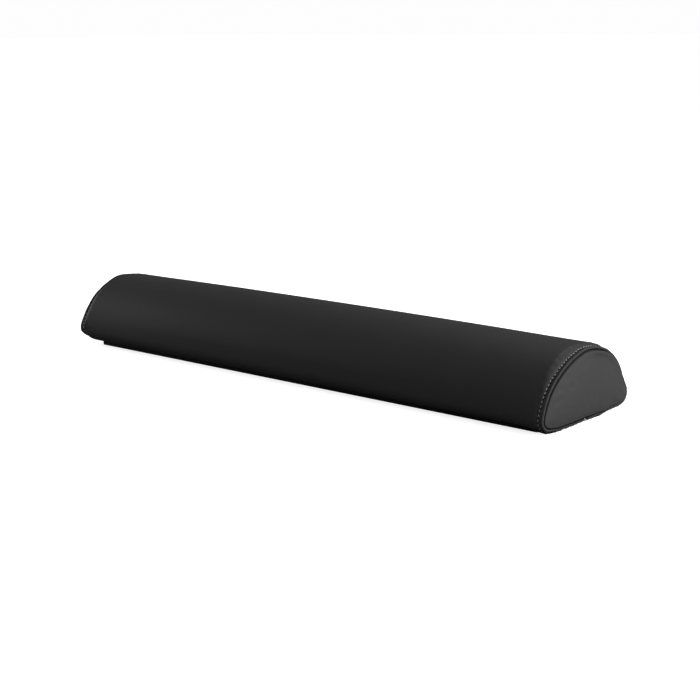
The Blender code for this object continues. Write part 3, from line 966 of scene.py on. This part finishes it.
def shows_painted_shade(x, y, z):
    """Whether a place on the cover is at the edge of the hem under a ridge, where the near-black painted
    shade goes.
    """
    near_ridge = PAINTED_SHADE_BACKS[0] < RIDGE_X - abs(x) < PAINTED_SHADE_BACKS[1]
    return near_ridge and PAINTED_SHADE_SIDES[0] < y < PAINTED_SHADE_SIDES[1] and z < PAINTED_SHADE_TOP


def add_wall(piece):
    """Give a sheet the vinyl's thickness, inwards from the face that shows."""
    wall = piece.modifiers.new("vinyl thickness", "SOLIDIFY")
    wall.thickness = VINYL
    wall.offset = -1.0
    wall.use_even_offset = False


# The shape that sewing and use give the ends


def settled(table, turns):
    """How far a seam has settled outwards at each share of the ring: its table's line, softened."""
    even = np.arange(OUTLINE_SAMPLES) / OUTLINE_SAMPLES
    line = np.interp(even, *zip(*table), period=1.0) / 1000
    waves = np.fft.fftfreq(OUTLINE_SAMPLES, d=1 / OUTLINE_SAMPLES)
    soft = np.fft.ifft(np.fft.fft(line) * np.exp(-2 * (math.pi * SETTLED_ROUNDING * waves) ** 2)).real
    return np.interp(turns, even, soft, period=1.0)


def settle(points, turns, reach):
    """Move the ends as the photographed bolster has settled. Reach is each row's share of the movement."""
    ring = at_shares(section_outline(SEAM), turns)
    along = np.gradient(ring, axis=0)
    along /= np.linalg.norm(along, axis=1, keepdims=True)
    outward = np.stack([np.zeros(len(turns)), -along[:, 1], along[:, 0]], 1)
    low = ramp(points[..., 2], *SETTLED_LOW)
    for side, table in ((1, RIGHT_SETTLED), (-1, LEFT_SETTLED)):
        x = points[..., 0] * side
        line = settled(table, turns)
        short = ramp(x, *SETTLED_NEAR)
        beside_pad = ramp(np.abs(points[..., 1]), *BESIDE_PAD)
        long = beside_pad * ramp(x, *SETTLED_LONG) + (1 - beside_pad) * short
        # Where the seam has settled inwards, the foam behind it keeps most of the cover out
        held_out = (1 - HELD_SHARE) * long + HELD_SHARE * ramp(x, *HELD_OUT)
        inwards = ramp(-line, *INWARDS)
        near_end = low * (long + (held_out - long) * inwards) + (1 - low) * short
        move = near_end * reach * line
        points += move[..., None] * outward
    points[..., 2] = np.maximum(points[..., 2], FLOOR_GAP)


def join_opening(points, back):
    """How far the cover's two edges stand apart at the join, wider towards the ridge."""
    gap = (JOIN_GAP + (JOIN_NOTCH - JOIN_GAP) * ramp(back, STITCH_BACK, 0.0)) / 2
    y = points[..., 1]
    near = (np.abs(y) < JOIN_REACH) & (points[..., 2] < JOIN_TOP)
    side = np.ones_like(y)
    side[:, : y.shape[1] // 2] = -1.0
    return np.where(near, side * (gap + np.abs(y) * (1.0 - gap / JOIN_REACH)), y)


def stitch_row(grid, seed):
    """How far back from the ridge each column's topstitches run: further where the seam was eased in."""
    turns = np.linspace(0.0, 1.0, grid.shape[1])
    height = grid[grid.shape[0] // 2, :, 2]
    front_low = ramp(height, *EASED_HEIGHTS) * (turns < 0.5) * ramp(turns, *EASED_SHARES)
    return STITCH_BACK + EASED_IN * front_low + ROW_WANDER * wander(turns, range(3, 12), seed)


def raised(lift, back):
    """A lift's height at each distance back."""
    return lift.height * bell(back - lift.back, lift.width)


def right_underside(grid):
    """1 over the right end's underside and 0 elsewhere, with a soft edge up its sides."""
    return ramp(grid[..., 2], *UNDERSIDE) * (grid[..., 0] > 0)


def sewn_relief(grid, back, folded, stitches, sizes, seed):
    """Lifts from sewing: the furrow with its needle holes, the puffs between them, gathers and pleats."""
    turns = np.append(stitch_shares(stitches), 1.0)
    phase = turns * stitches
    beside = back - stitch_row(grid, seed)
    chance = np.random.default_rng(seed)
    strength = 1.0 + 0.3 * chance.uniform(-1, 1, stitches + 1)
    local = strength[np.floor(phase).astype(int).clip(0, stitches)]
    to_hole = (phase - np.floor(phase) - 0.5) / stitches * SEAM_LENGTH
    depth = sizes.furrow_depth * (1.0 + 0.15 * wander(turns, range(3, 30), seed + 1))
    furrow = raised(BAND_DIP, back) - depth * bell(beside, FURROW_WIDTH)
    holes = local * bell(to_hole, HOLE_WIDTH) * raised(HOLES, beside)
    puffs = np.cos(2 * math.pi * phase) * raised(PUFFS, beside)
    gathers = wander(turns, range(24, 52), seed + 2) * raised(GATHERS, back)
    ridge = wander(turns, range(20, 60), seed + 3) * raised(RIDGE_WAVES, back)
    y = grid[..., 1]
    under = right_underside(grid) * ramp(y, *PLEATS_BACK) * ramp(y, *PLEATS_FRONT)
    pleats = (1 + 0.2 * wander(turns, range(30, 44), seed + 4)) * raised(PLEATS, back)
    pleats = (pleats + bell(y - BULGE_Y, BULGE_WIDTH) * raised(HEM_BULGE, back)) * under
    return np.where(folded, 0.0, furrow + holes + puffs + gathers + pleats) + ridge


class BOLSTER_OT_cover(bpy.types.Operator):
    """Make the vinyl cover over the back, with its folded and topstitched ends"""

    bl_idname = "bolster.cover"
    bl_label = "Cover"

    def execute(self, context):
        """Loft the sheet, let the foam swell it, sew its ends, and open its join and hem."""
        sizes = context.scene.bolster_cover
        stitches = context.scene.bolster_stitches.count
        right_rows = cover_rows(sizes)
        rows = mirrored(right_rows[1:]) + right_rows
        shares = stitch_shares(stitches)
        mesh, grid = sewn_sheet("bolster_cover", rows, shares, sizes, vinyl_material(context))
        turns = np.append(shares, 1.0)
        half = len(rows) // 2
        back = (RIDGE_X - np.abs(grid[..., 0])).clip(0.0)
        # The rows past the ridge's outermost point
        from_middle = np.abs(np.arange(len(rows)) - half)
        folded = (from_middle > half - FOLD_ROWS // 2 - len(HIDDEN_BACKS))[:, None]
        grid = grid + self.swell(rows, stitches, turns, folded, sizes, mesh.materials[0])
        normals = outward_normals(grid)
        rows_of_stitches = [stitch_row(grid, seed) for _, seed in END_SEEDS]
        for side, seed in END_SEEDS:
            this_end = (grid[..., 0] * side > ENDS_FROM)[..., None]
            relief = sewn_relief(grid, back, folded, stitches, sizes, seed)
            grid = grid + np.where(this_end, normals * relief[..., None], 0.0)
        settle(grid, turns, 1.0)
        grid[..., 2] += self.flattened(grid, rows, back, folded, sizes)
        low_front = ramp(grid[..., 2], *LOW_FRONT_HEIGHTS) * ramp(grid[..., 1], *LOW_FRONT_SIDES)
        grid[..., 0] += np.sign(grid[..., 0]) * low_front * raised(LOW_FRONT, back)
        grid[..., 1] = join_opening(grid, back)
        context.scene["seam_lines"] = self.seam_lines(grid, back, half, stitches, rows_of_stitches)
        closed_sheet(mesh, grid, in_opening)
        # The hem's edge under the ridges gets the near-black material: painted shade
        mesh.materials.append(painted_shade_backing())
        for polygon in mesh.polygons:
            if shows_painted_shade(*polygon.center):
                polygon.material_index = 1
        cover = main_piece("bolster_cover", mesh, ("cover_sleeve",))
        add_wall(cover)
        return {"FINISHED"}

    def flattened(self, grid, rows, back, folded, sizes):
        """How far the ridge's lower side is pressed up along the right end's underside."""
        thickness = np.array([row[1] for row in rows])[:, None] - fold_lift(sizes)
        near_ridge = np.where(folded, 1.0, ramp(back, *FLAT_BACKS))
        under = right_underside(grid) * ramp(np.abs(grid[..., 1] - FLAT_MIDDLE), *FLAT_SIDES)
        return PRESSED_FLAT * thickness * near_ridge * under

    def swell(self, rows, stitches, turns, folded, sizes, vinyl):
        """Let the foam push the vinyl out between its seams and its stapled hem."""
        end = RIDGE_X - STITCH_BACK
        places = np.linspace(-end, end, SWELL_ROWS)
        coarse_rows = [(x, 0.0, 1.0) for x in places]
        even = np.arange(stitches) / stitches
        mesh, coarse = sewn_sheet("coarse cover", coarse_rows, even, sizes, vinyl)
        bpy.data.meshes.remove(mesh)
        held = coarse[..., 2] < BODY.bottom + HELD_HEM
        held[[0, -1]] = True
        out = (pushed_out(coarse, held) * outward_normals(coarse)).sum(2)
        for _ in range(SMOOTHINGS):
            out[1:-1] = (out[:-2] + 2 * out[1:-1] + out[2:]) / 4
            out[:, 1:-1] = (out[:, :-2] + 2 * out[:, 1:-1] + out[:, 2:]) / 4
        free = ramp(coarse[..., 2], *SWELL_HEIGHTS)
        expected = sizes.swell * ramp(np.abs(places), end, end - SWELL_FADE)[:, None] * free
        limit = SWELL_LIMIT * sizes.swell
        change = limit * np.tanh((out - expected) / (2 * limit)) * free
        change = (outward_normals(coarse) * change[..., None])[:, :-1]
        x = np.array([row[0] for row in rows]).clip(-end, end)
        by_row = between(change, places, x)
        by_column = between(by_row.transpose(1, 0, 2), even, turns, closed=True).transpose(1, 0, 2)
        return np.where(folded[..., None], 0.0, by_column)

    def seam_lines(self, grid, back, half, stitches, rows_of_stitches):
        """The middle of every stitch on both ends, with the outward direction there."""
        normals = outward_normals(grid)
        columns = np.arange(1, stitches) * COLUMNS_PER_STITCH
        # The rows from mid length to the top of the ridge
        shown = half + 2 - FOLD_ROWS - len(HIDDEN_BACKS)
        lines = []
        for side, row_back in zip((1, -1), rows_of_stitches):
            number = half + side * np.arange(shown)
            line = []
            for column in columns:
                place = np.interp(-row_back[column], -back[number, column], np.arange(shown))
                at, part = int(place), place - int(place)
                near, far = number[at], number[at + 1]
                line.append(
                    [*(grid[near, column] * (1 - part) + grid[far, column] * part), *normals[near, column]]
                )
            lines.append([[float(value) for value in point] for point in line])
        return lines


class BOLSTER_OT_end_panels(bpy.types.Operator):
    """Make the two crowned D-shaped end panels with their flanges"""

    bl_idname = "bolster.end_panels"
    bl_label = "End panels"

    def execute(self, context):
        """Loft each panel, let its foam pad crown it, and give it the gathers of its seam."""
        sizes = context.scene.bolster_cover
        shares = np.arange(PANEL_COLUMNS) / PANEL_COLUMNS
        turns = np.append(shares, 1.0)
        crowned = 0.0
        for side, name, seed in ((1, "right", 31), (-1, "left", 43)):
            rows = panel_rows(sizes) if side > 0 else mirrored(panel_rows(sizes))
            piece = f"bolster_end_panel_{name}"
            mesh, grid = sewn_sheet(piece, rows, shares, sizes, vinyl_material(context))
            inwards = np.array([row[2] for row in rows])[:, None]
            rim = wander(turns, range(26, 48), seed) * (0.6 + 0.4 * wander(turns, range(2, 7), seed + 1))
            gathers = RIM_GATHERS * rim * bell(1.0 - inwards, RIM_SHARE) * (inwards < 1.0)
            if side > 0:
                crowned = self.crown(grid, turns, sizes)
            grid[..., 0] += side * (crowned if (side > 0) else crowned[::-1])
            grid[..., 0] += side * (gathers + self.rim_lie(grid, inwards))
            settle(grid, turns, inwards)
            middle = grid[-1 if side > 0 else 0]
            middle[:] = middle.mean(0)
            closed_sheet(mesh, grid)
            panel = main_piece(piece, mesh, (f"end_panel_{name}",))
            add_wall(panel)
        return {"FINISHED"}

    def rim_lie(self, grid, inwards):
        """How far the rim stands out: more at its far top, less along its bottom and low on its front."""
        y, z = grid[..., 1], grid[..., 2]
        proud = np.where(y < 0, ramp(z, *RIM_FRONT_HEIGHTS), ramp(z, *RIM_BACK_HEIGHTS))
        far_top = ramp(y, *RIM_FAR_SIDES) * ramp(z, *RIM_FAR_HEIGHTS)
        top = bell(y - RIM_TOP_Y, RIM_TOP_WIDTH) * ramp(z, *RIM_TOP_HEIGHTS)
        out = RIM_FAR_TOP * far_top + RIM_TOP * top + RIM_LOW * (1.0 - proud)
        return out * bell(1.0 - inwards, RIM_SHARE)

    def crown(self, grid, turns, sizes):
        """Let the foam pad push the right panel's face out, and scale its crown to the panel's rise."""
        rim = len(grid) - DOME_ROWS
        picked = np.arange(rim, len(grid) - 1, 2)
        columns = np.arange(0, PANEL_COLUMNS, CROWN_STEP)
        coarse = grid[np.ix_(picked, columns)]
        held = np.zeros(coarse.shape[:2], bool)
        held[0] = True
        dome = coarse[..., 0] - RIDGE_X - PANEL_PROUD
        shape = dome + pushed_out(coarse, held, panel=True)[..., 0]
        change = (shape * sizes.panel_rise / shape.max() - dome)[..., None]
        places = columns / PANEL_COLUMNS
        by_column = between(change.transpose(1, 0, 2), places, turns, closed=True).transpose(1, 0, 2)
        result = np.zeros(grid.shape[:2])
        result[rim:] = between(by_column, picked, np.arange(rim, len(grid)))[..., 0]
        return result


class BOLSTER_OT_end_pads(bpy.types.Operator):
    """Make the soft foam pads that crown the end panels"""

    bl_idname = "bolster.end_pads"
    bl_label = "End pads"

    def execute(self, context):
        """Loft each pad and let it follow its settled seam."""
        sizes = context.scene.bolster_cover
        shares = np.arange(PAD_COLUMNS) / PAD_COLUMNS
        turns = np.append(shares, 1.0)
        for side, name in ((1, "right"), (-1, "left")):
            rows = pad_rows(sizes) if side > 0 else mirrored(pad_rows(sizes))
            mesh, grid = sewn_sheet(f"bolster_end_pad_{name}", rows, shares, sizes, soft_foam())
            settle(grid, turns, np.array([row[2] for row in rows])[:, None])
            for pole in (grid[0], grid[-1]):
                pole[:] = pole.mean(0)
            closed_sheet(mesh, grid)
            main_piece(f"bolster_end_pad_{name}", mesh, (f"end_pad_{name}",))
        return {"FINISHED"}


# Topstitches


def topstitch_tree():
    """A short arched thread on every stitch of a seam line, turned to lie along it."""
    tree, given = new_tree(
        "topstitches",
        {
            "Seam Line": "Object",
            "Stitch Length": "Float",
            "Thread": "Float",
            "Seed": "Int",
            "Material": "Material",
        },
    )
    half, other, sunk, proud, radius = (
        add_node(tree, "ShaderNodeMath", {0: given[size], 1: factor}, operation="MULTIPLY")
        for size, factor in (
            ("Stitch Length", 0.5),
            ("Stitch Length", -0.5),
            ("Thread", ARCH_SUNK),
            ("Thread", ARCH_PROUD),
            ("Thread", 0.5),
        )
    )
    start = add_node(tree, "ShaderNodeCombineXYZ", {"X": other, "Z": sunk})
    top = add_node(tree, "ShaderNodeCombineXYZ", {"Z": proud})
    end = add_node(tree, "ShaderNodeCombineXYZ", {"X": half, "Z": sunk})
    arch = add_node(
        tree,
        "GeometryNodeCurveQuadraticBezier",
        {"Resolution": 6, "Start": start, "Middle": top, "End": end},
    )
    length = add_node(tree, "GeometryNodeSplineParameter").outputs["Factor"]
    twists = add_node(tree, "ShaderNodeMath", {0: length, 1: TWISTS_PER_STITCH}, operation="MULTIPLY")
    twisted = add_node(
        tree, "GeometryNodeStoreNamedAttribute", {"Geometry": arch, "Name": "twist", "Value": twists}
    )
    round_wire = add_node(
        tree, "GeometryNodeCurvePrimitiveCircle", {"Resolution": 6, "Radius": radius}, mode="RADIUS"
    )
    thread = add_node(
        tree,
        "GeometryNodeCurveToMesh",
        {"Curve": twisted, "Profile Curve": round_wire.outputs["Curve"], "Fill Caps": True},
    )
    line = add_node(tree, "GeometryNodeObjectInfo", {"Object": given["Seam Line"]}).outputs["Geometry"]
    outward, heading = (
        add_node(tree, "GeometryNodeInputNamedAttribute", {"Name": name}, data_type="FLOAT_VECTOR")
        for name in ("outward", "heading")
    )
    facing = add_node(
        tree,
        "FunctionNodeAxesToRotation",
        {"Primary Axis": outward, "Secondary Axis": heading},
        primary_axis="Z",
        secondary_axis="X",
    )
    chance, size = (
        add_node(
            tree,
            "FunctionNodeRandomValue",
            {"Min": low, "Max": high, "Seed": given["Seed"]},
            data_type="FLOAT_VECTOR",
        )
        for low, high in (
            ((-0.05, -0.05, -0.11), (0.05, 0.05, 0.11)),
            ((0.86, 0.9, 0.9), (1.04, 1.08, 1.1)),
        )
    )
    tilt = add_node(tree, "FunctionNodeEulerToRotation", {"Euler": chance})
    turned = add_node(
        tree, "FunctionNodeRotateRotation", {"Rotation": facing, "Rotate By": tilt}, rotation_space="LOCAL"
    )
    placed = add_node(
        tree,
        "GeometryNodeInstanceOnPoints",
        {"Points": line, "Instance": thread, "Rotation": turned, "Scale": size},
    )
    close_tree(tree, placed, given["Material"])
    return tree


def stitch_line(name, line):
    """The middles of a seam's stitches as points, with the outward and heading directions they carry."""
    line = np.array(line)
    guide = guide_points(name, line[:, :3])
    heading = np.gradient(line[:, :3], axis=0)
    heading /= np.linalg.norm(heading, axis=1, keepdims=True)
    for label, values in (("outward", line[:, 3:]), ("heading", heading)):
        attribute = guide.data.attributes.new(label, "FLOAT_VECTOR", "POINT")
        attribute.data.foreach_set("vector", values.reshape(-1).astype(np.float32))
    return guide


class BOLSTER_OT_topstitches(bpy.types.Operator):
    """Lay a row of topstitches in the furrow beside each ridge"""

    bl_idname = "bolster.topstitches"
    bl_label = "Topstitches"

    def execute(self, context):
        """Put a stitch between every two needle holes of both seams."""
        sizes = context.scene.bolster_stitches
        tree = topstitch_tree()
        # The thread's light grey holds a painted highlight on top of the charcoal thread's own colour
        material = bonded_thread("bonded_polyester_thread", context.scene.bolster_colours.thread)
        for name, line, seed in zip(("right", "left"), context.scene["seam_lines"], (0, 1)):
            values = {
                "Seam Line": stitch_line(f"stitch line {name}", [list(point) for point in line]),
                "Stitch Length": sizes.length,
                "Thread": sizes.thread,
                "Seed": sizes.seed + seed,
                "Material": material,
            }
            mesh = run_tree(f"topstitches_{name}", tree, values)
            main_piece(f"topstitches_{name}", mesh)
        del context.scene["seam_lines"]
        return {"FINISHED"}


class BOLSTER_OT_thread_end(bpy.types.Operator):
    """Leave the pale ends of the closing seam's thread at the right end's join"""

    bl_idname = "bolster.thread_end"
    bl_label = "Thread end"

    def execute(self, context):
        """Bend three short lengths of thread out of the join."""
        start = (RIDGE_X - THREAD_END_BACK, 0.0, SEAM.bottom)
        curve = bpy.data.curves.new("thread_end", "CURVE")
        curve.dimensions = "3D"
        curve.bevel_depth = THREAD_END_RADIUS
        curve.bevel_resolution = 1
        curve.resolution_u = 6
        curve.use_fill_caps = True
        for path in THREAD_ENDS:
            spline = curve.splines.new("BEZIER")
            spline.bezier_points.add(len(path) - 1)
            for point, place in zip(spline.bezier_points, path):
                point.co = [origin + offset for origin, offset in zip(start, place)]
                point.handle_left_type = point.handle_right_type = "AUTO"
        holder = link(bpy.data.objects.new("thread_end", curve))
        evaluated = holder.evaluated_get(context.evaluated_depsgraph_get())
        mesh = bpy.data.meshes.new_from_object(evaluated)
        bpy.data.objects.remove(holder, do_unlink=True)
        mesh.materials.append(bonded_thread("pale_seam_thread", context.scene.bolster_colours.loose_end))
        main_piece("thread_end", mesh)
        return {"FINISHED"}


class BOLSTER_OT_inner_parts(bpy.types.Operator):
    """Finish the base pad, the board, the foam block, the comfort layer and the staples"""

    bl_idname = "bolster.inner_parts"
    bl_label = "Base pad and inner parts"

    def execute(self, context):
        """Give every node that keeps its shape its own material."""
        finishes = {
            "base_pad": sheet_rubber(context.scene.bolster_colours.rubber),
            "base_board": birch_plywood(),
            # Closed-cell foam, about 1.2 mm cells
            "foam_core": cut_foam("firm_closed_cell_foam_grey", "#6a6d72", "#8d9095", 0.0012, 0.6),
            "comfort_layer": soft_foam(),
            "staple": galvanised_wire(),
        }
        for name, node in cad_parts.items():
            for start, material in finishes.items():
                if name.startswith(start):
                    node.data.materials.clear()
                    node.data.materials.append(material)
        return {"FINISHED"}


# The stage


def area_light(name, power, place):
    """A square studio light aimed at the bolster."""
    lamp = bpy.data.lights.new(name, "AREA")
    lamp.shape = "SQUARE"
    lamp.size = LAMP_SIZE
    lamp.energy = power
    light = link(bpy.data.objects.new(name, lamp))
    aim = (Vector(LAMP_TARGET) - Vector(place)).to_track_quat("-Z", "Y").to_matrix().to_4x4()
    light.matrix_world = Matrix.Translation(place) @ aim


class BOLSTER_OT_stage(bpy.types.Operator):
    """Set up the pale floor, the soft studio lights and the camera"""

    bl_idname = "bolster.stage"
    bl_label = "Stage"

    def execute(self, context):
        """Make the floor, the lights, the room and the camera."""
        self.floor()
        strengths = context.scene.bolster_stage
        for name, place in LAMPS.items():
            area_light(f"{name} light", getattr(strengths, name), place)
        self.room(context.scene, strengths.room)
        self.camera(context.scene)
        context.scene.view_settings.view_transform = "Standard"
        return {"FINISHED"}

    def floor(self):
        """A matt white studio floor: it looks white, keeps its shadows, and returns little light."""
        material = bpy.data.materials.new("studio_floor_white")
        material.use_nodes = True
        tree = material.node_tree
        tree.nodes.clear()
        seen = add_node(tree, "ShaderNodeLightPath").outputs["Is Camera Ray"]
        glow = add_node(tree, "ShaderNodeMath", {0: seen, 1: FLOOR_GLOW}, operation="MULTIPLY")
        light = add_node(tree, "ShaderNodeEmission", {"Color": WHITE, "Strength": glow})
        tones = {"Value": seen, "To Min": FLOOR_BOUNCE, "To Max": FLOOR_SEEN}
        level = add_node(tree, "ShaderNodeMapRange", tones)
        white = add_node(tree, "ShaderNodeCombineColor", {"Red": level, "Green": level, "Blue": level})
        paint = add_node(tree, "ShaderNodeBsdfDiffuse", {"Color": white})
        both = add_node(tree, "ShaderNodeAddShader", {0: light, 1: paint})
        add_node(tree, "ShaderNodeOutputMaterial", {"Surface": both})
        mesh = bpy.data.meshes.new("floor")
        signs = ((-1, -1), (1, -1), (1, 1), (-1, 1))
        corners = [(x * FLOOR_HALF, y * FLOOR_HALF, 0.0) for x, y in signs]
        mesh.from_pydata(corners, [], [(0, 1, 2, 3)])
        mesh.materials.append(material)
        link(bpy.data.objects.new("floor", mesh))

    def room(self, scene, strength):
        """A white room that lights the bolster evenly and weakly."""
        world = bpy.data.worlds.new("studio room")
        scene.world = world
        world.use_nodes = True
        tree = world.node_tree
        seen = add_node(tree, "ShaderNodeLightPath").outputs["Is Camera Ray"]
        tones = {"Value": seen, "To Min": strength, "To Max": ROOM_SEEN}
        background = tree.nodes["Background"]
        feed(tree, background.inputs["Color"], WHITE)
        feed(tree, background.inputs["Strength"], add_node(tree, "ShaderNodeMapRange", tones))

    def camera(self, scene):
        """The photograph's camera, in front and to the right, a little above the bolster."""
        turn, rise, roll = (math.radians(angle) for angle in CAMERA_ANGLES)
        back = Vector((math.sin(turn) * math.cos(rise), -math.cos(turn) * math.cos(rise), math.sin(rise)))
        right = Vector((math.cos(turn), math.sin(turn), 0.0))
        up = back.cross(right)
        across = math.cos(roll) * right + math.sin(roll) * up
        upright = -math.sin(roll) * right + math.cos(roll) * up
        place = across * CAMERA_PLACE[0] + upright * CAMERA_PLACE[1] + back * CAMERA_PLACE[2]
        camera = bpy.data.cameras.new("camera")
        camera.sensor_width = 36.0
        camera.lens = LENS
        camera.clip_end = 100.0
        holder = link(bpy.data.objects.new("camera", camera))
        turned = Matrix((across, upright, back)).transposed().to_4x4()
        holder.matrix_world = Matrix.Translation(place) @ turned
        scene.camera = holder


class BOLSTER_PT_panel(bpy.types.Panel):
    """The bolster's pieces, in the 3D view's sidebar"""

    bl_label = "Half-Round Bolster"
    bl_idname = "BOLSTER_PT_panel"
    bl_space_type = "VIEW_3D"
    bl_region_type = "UI"
    bl_category = "Bolster"

    def draw(self, context):
        """List the sizes, the colours and a button for each piece."""
        for group in ("bolster_cover", "bolster_stitches", "bolster_colours", "bolster_stage"):
            values = getattr(context.scene, group)
            box = self.layout.box()
            for name in values.bl_rna.properties.keys():
                if name not in ("name", "rna_type"):
                    box.prop(values, name)
        for operator in OPERATORS:
            self.layout.operator(operator.bl_idname)


OPERATORS = (
    BOLSTER_OT_cover,
    BOLSTER_OT_end_panels,
    BOLSTER_OT_end_pads,
    BOLSTER_OT_topstitches,
    BOLSTER_OT_thread_end,
    BOLSTER_OT_inner_parts,
    BOLSTER_OT_stage,
)
GROUPS = {
    "bolster_cover": BolsterCover,
    "bolster_stitches": BolsterStitches,
    "bolster_colours": BolsterColours,
    "bolster_stage": BolsterStage,
}


def register():
    """Register the property groups, the operators and the panel."""
    for cls in (*GROUPS.values(), *OPERATORS, BOLSTER_PT_panel):
        bpy.utils.register_class(cls)
    for name, cls in GROUPS.items():
        setattr(bpy.types.Scene, name, PointerProperty(type=cls))


def unregister():
    """Undo register."""
    for name in GROUPS:
        delattr(bpy.types.Scene, name)
    for cls in reversed((*GROUPS.values(), *OPERATORS, BOLSTER_PT_panel)):
        bpy.utils.unregister_class(cls)


def main():
    """Make every piece and the stage."""
    register()
    bpy.ops.bolster.cover()
    bpy.ops.bolster.end_panels()
    bpy.ops.bolster.end_pads()
    bpy.ops.bolster.topstitches()
    bpy.ops.bolster.thread_end()
    bpy.ops.bolster.inner_parts()
    bpy.ops.bolster.stage()


if __name__ == "__main__":
    main()
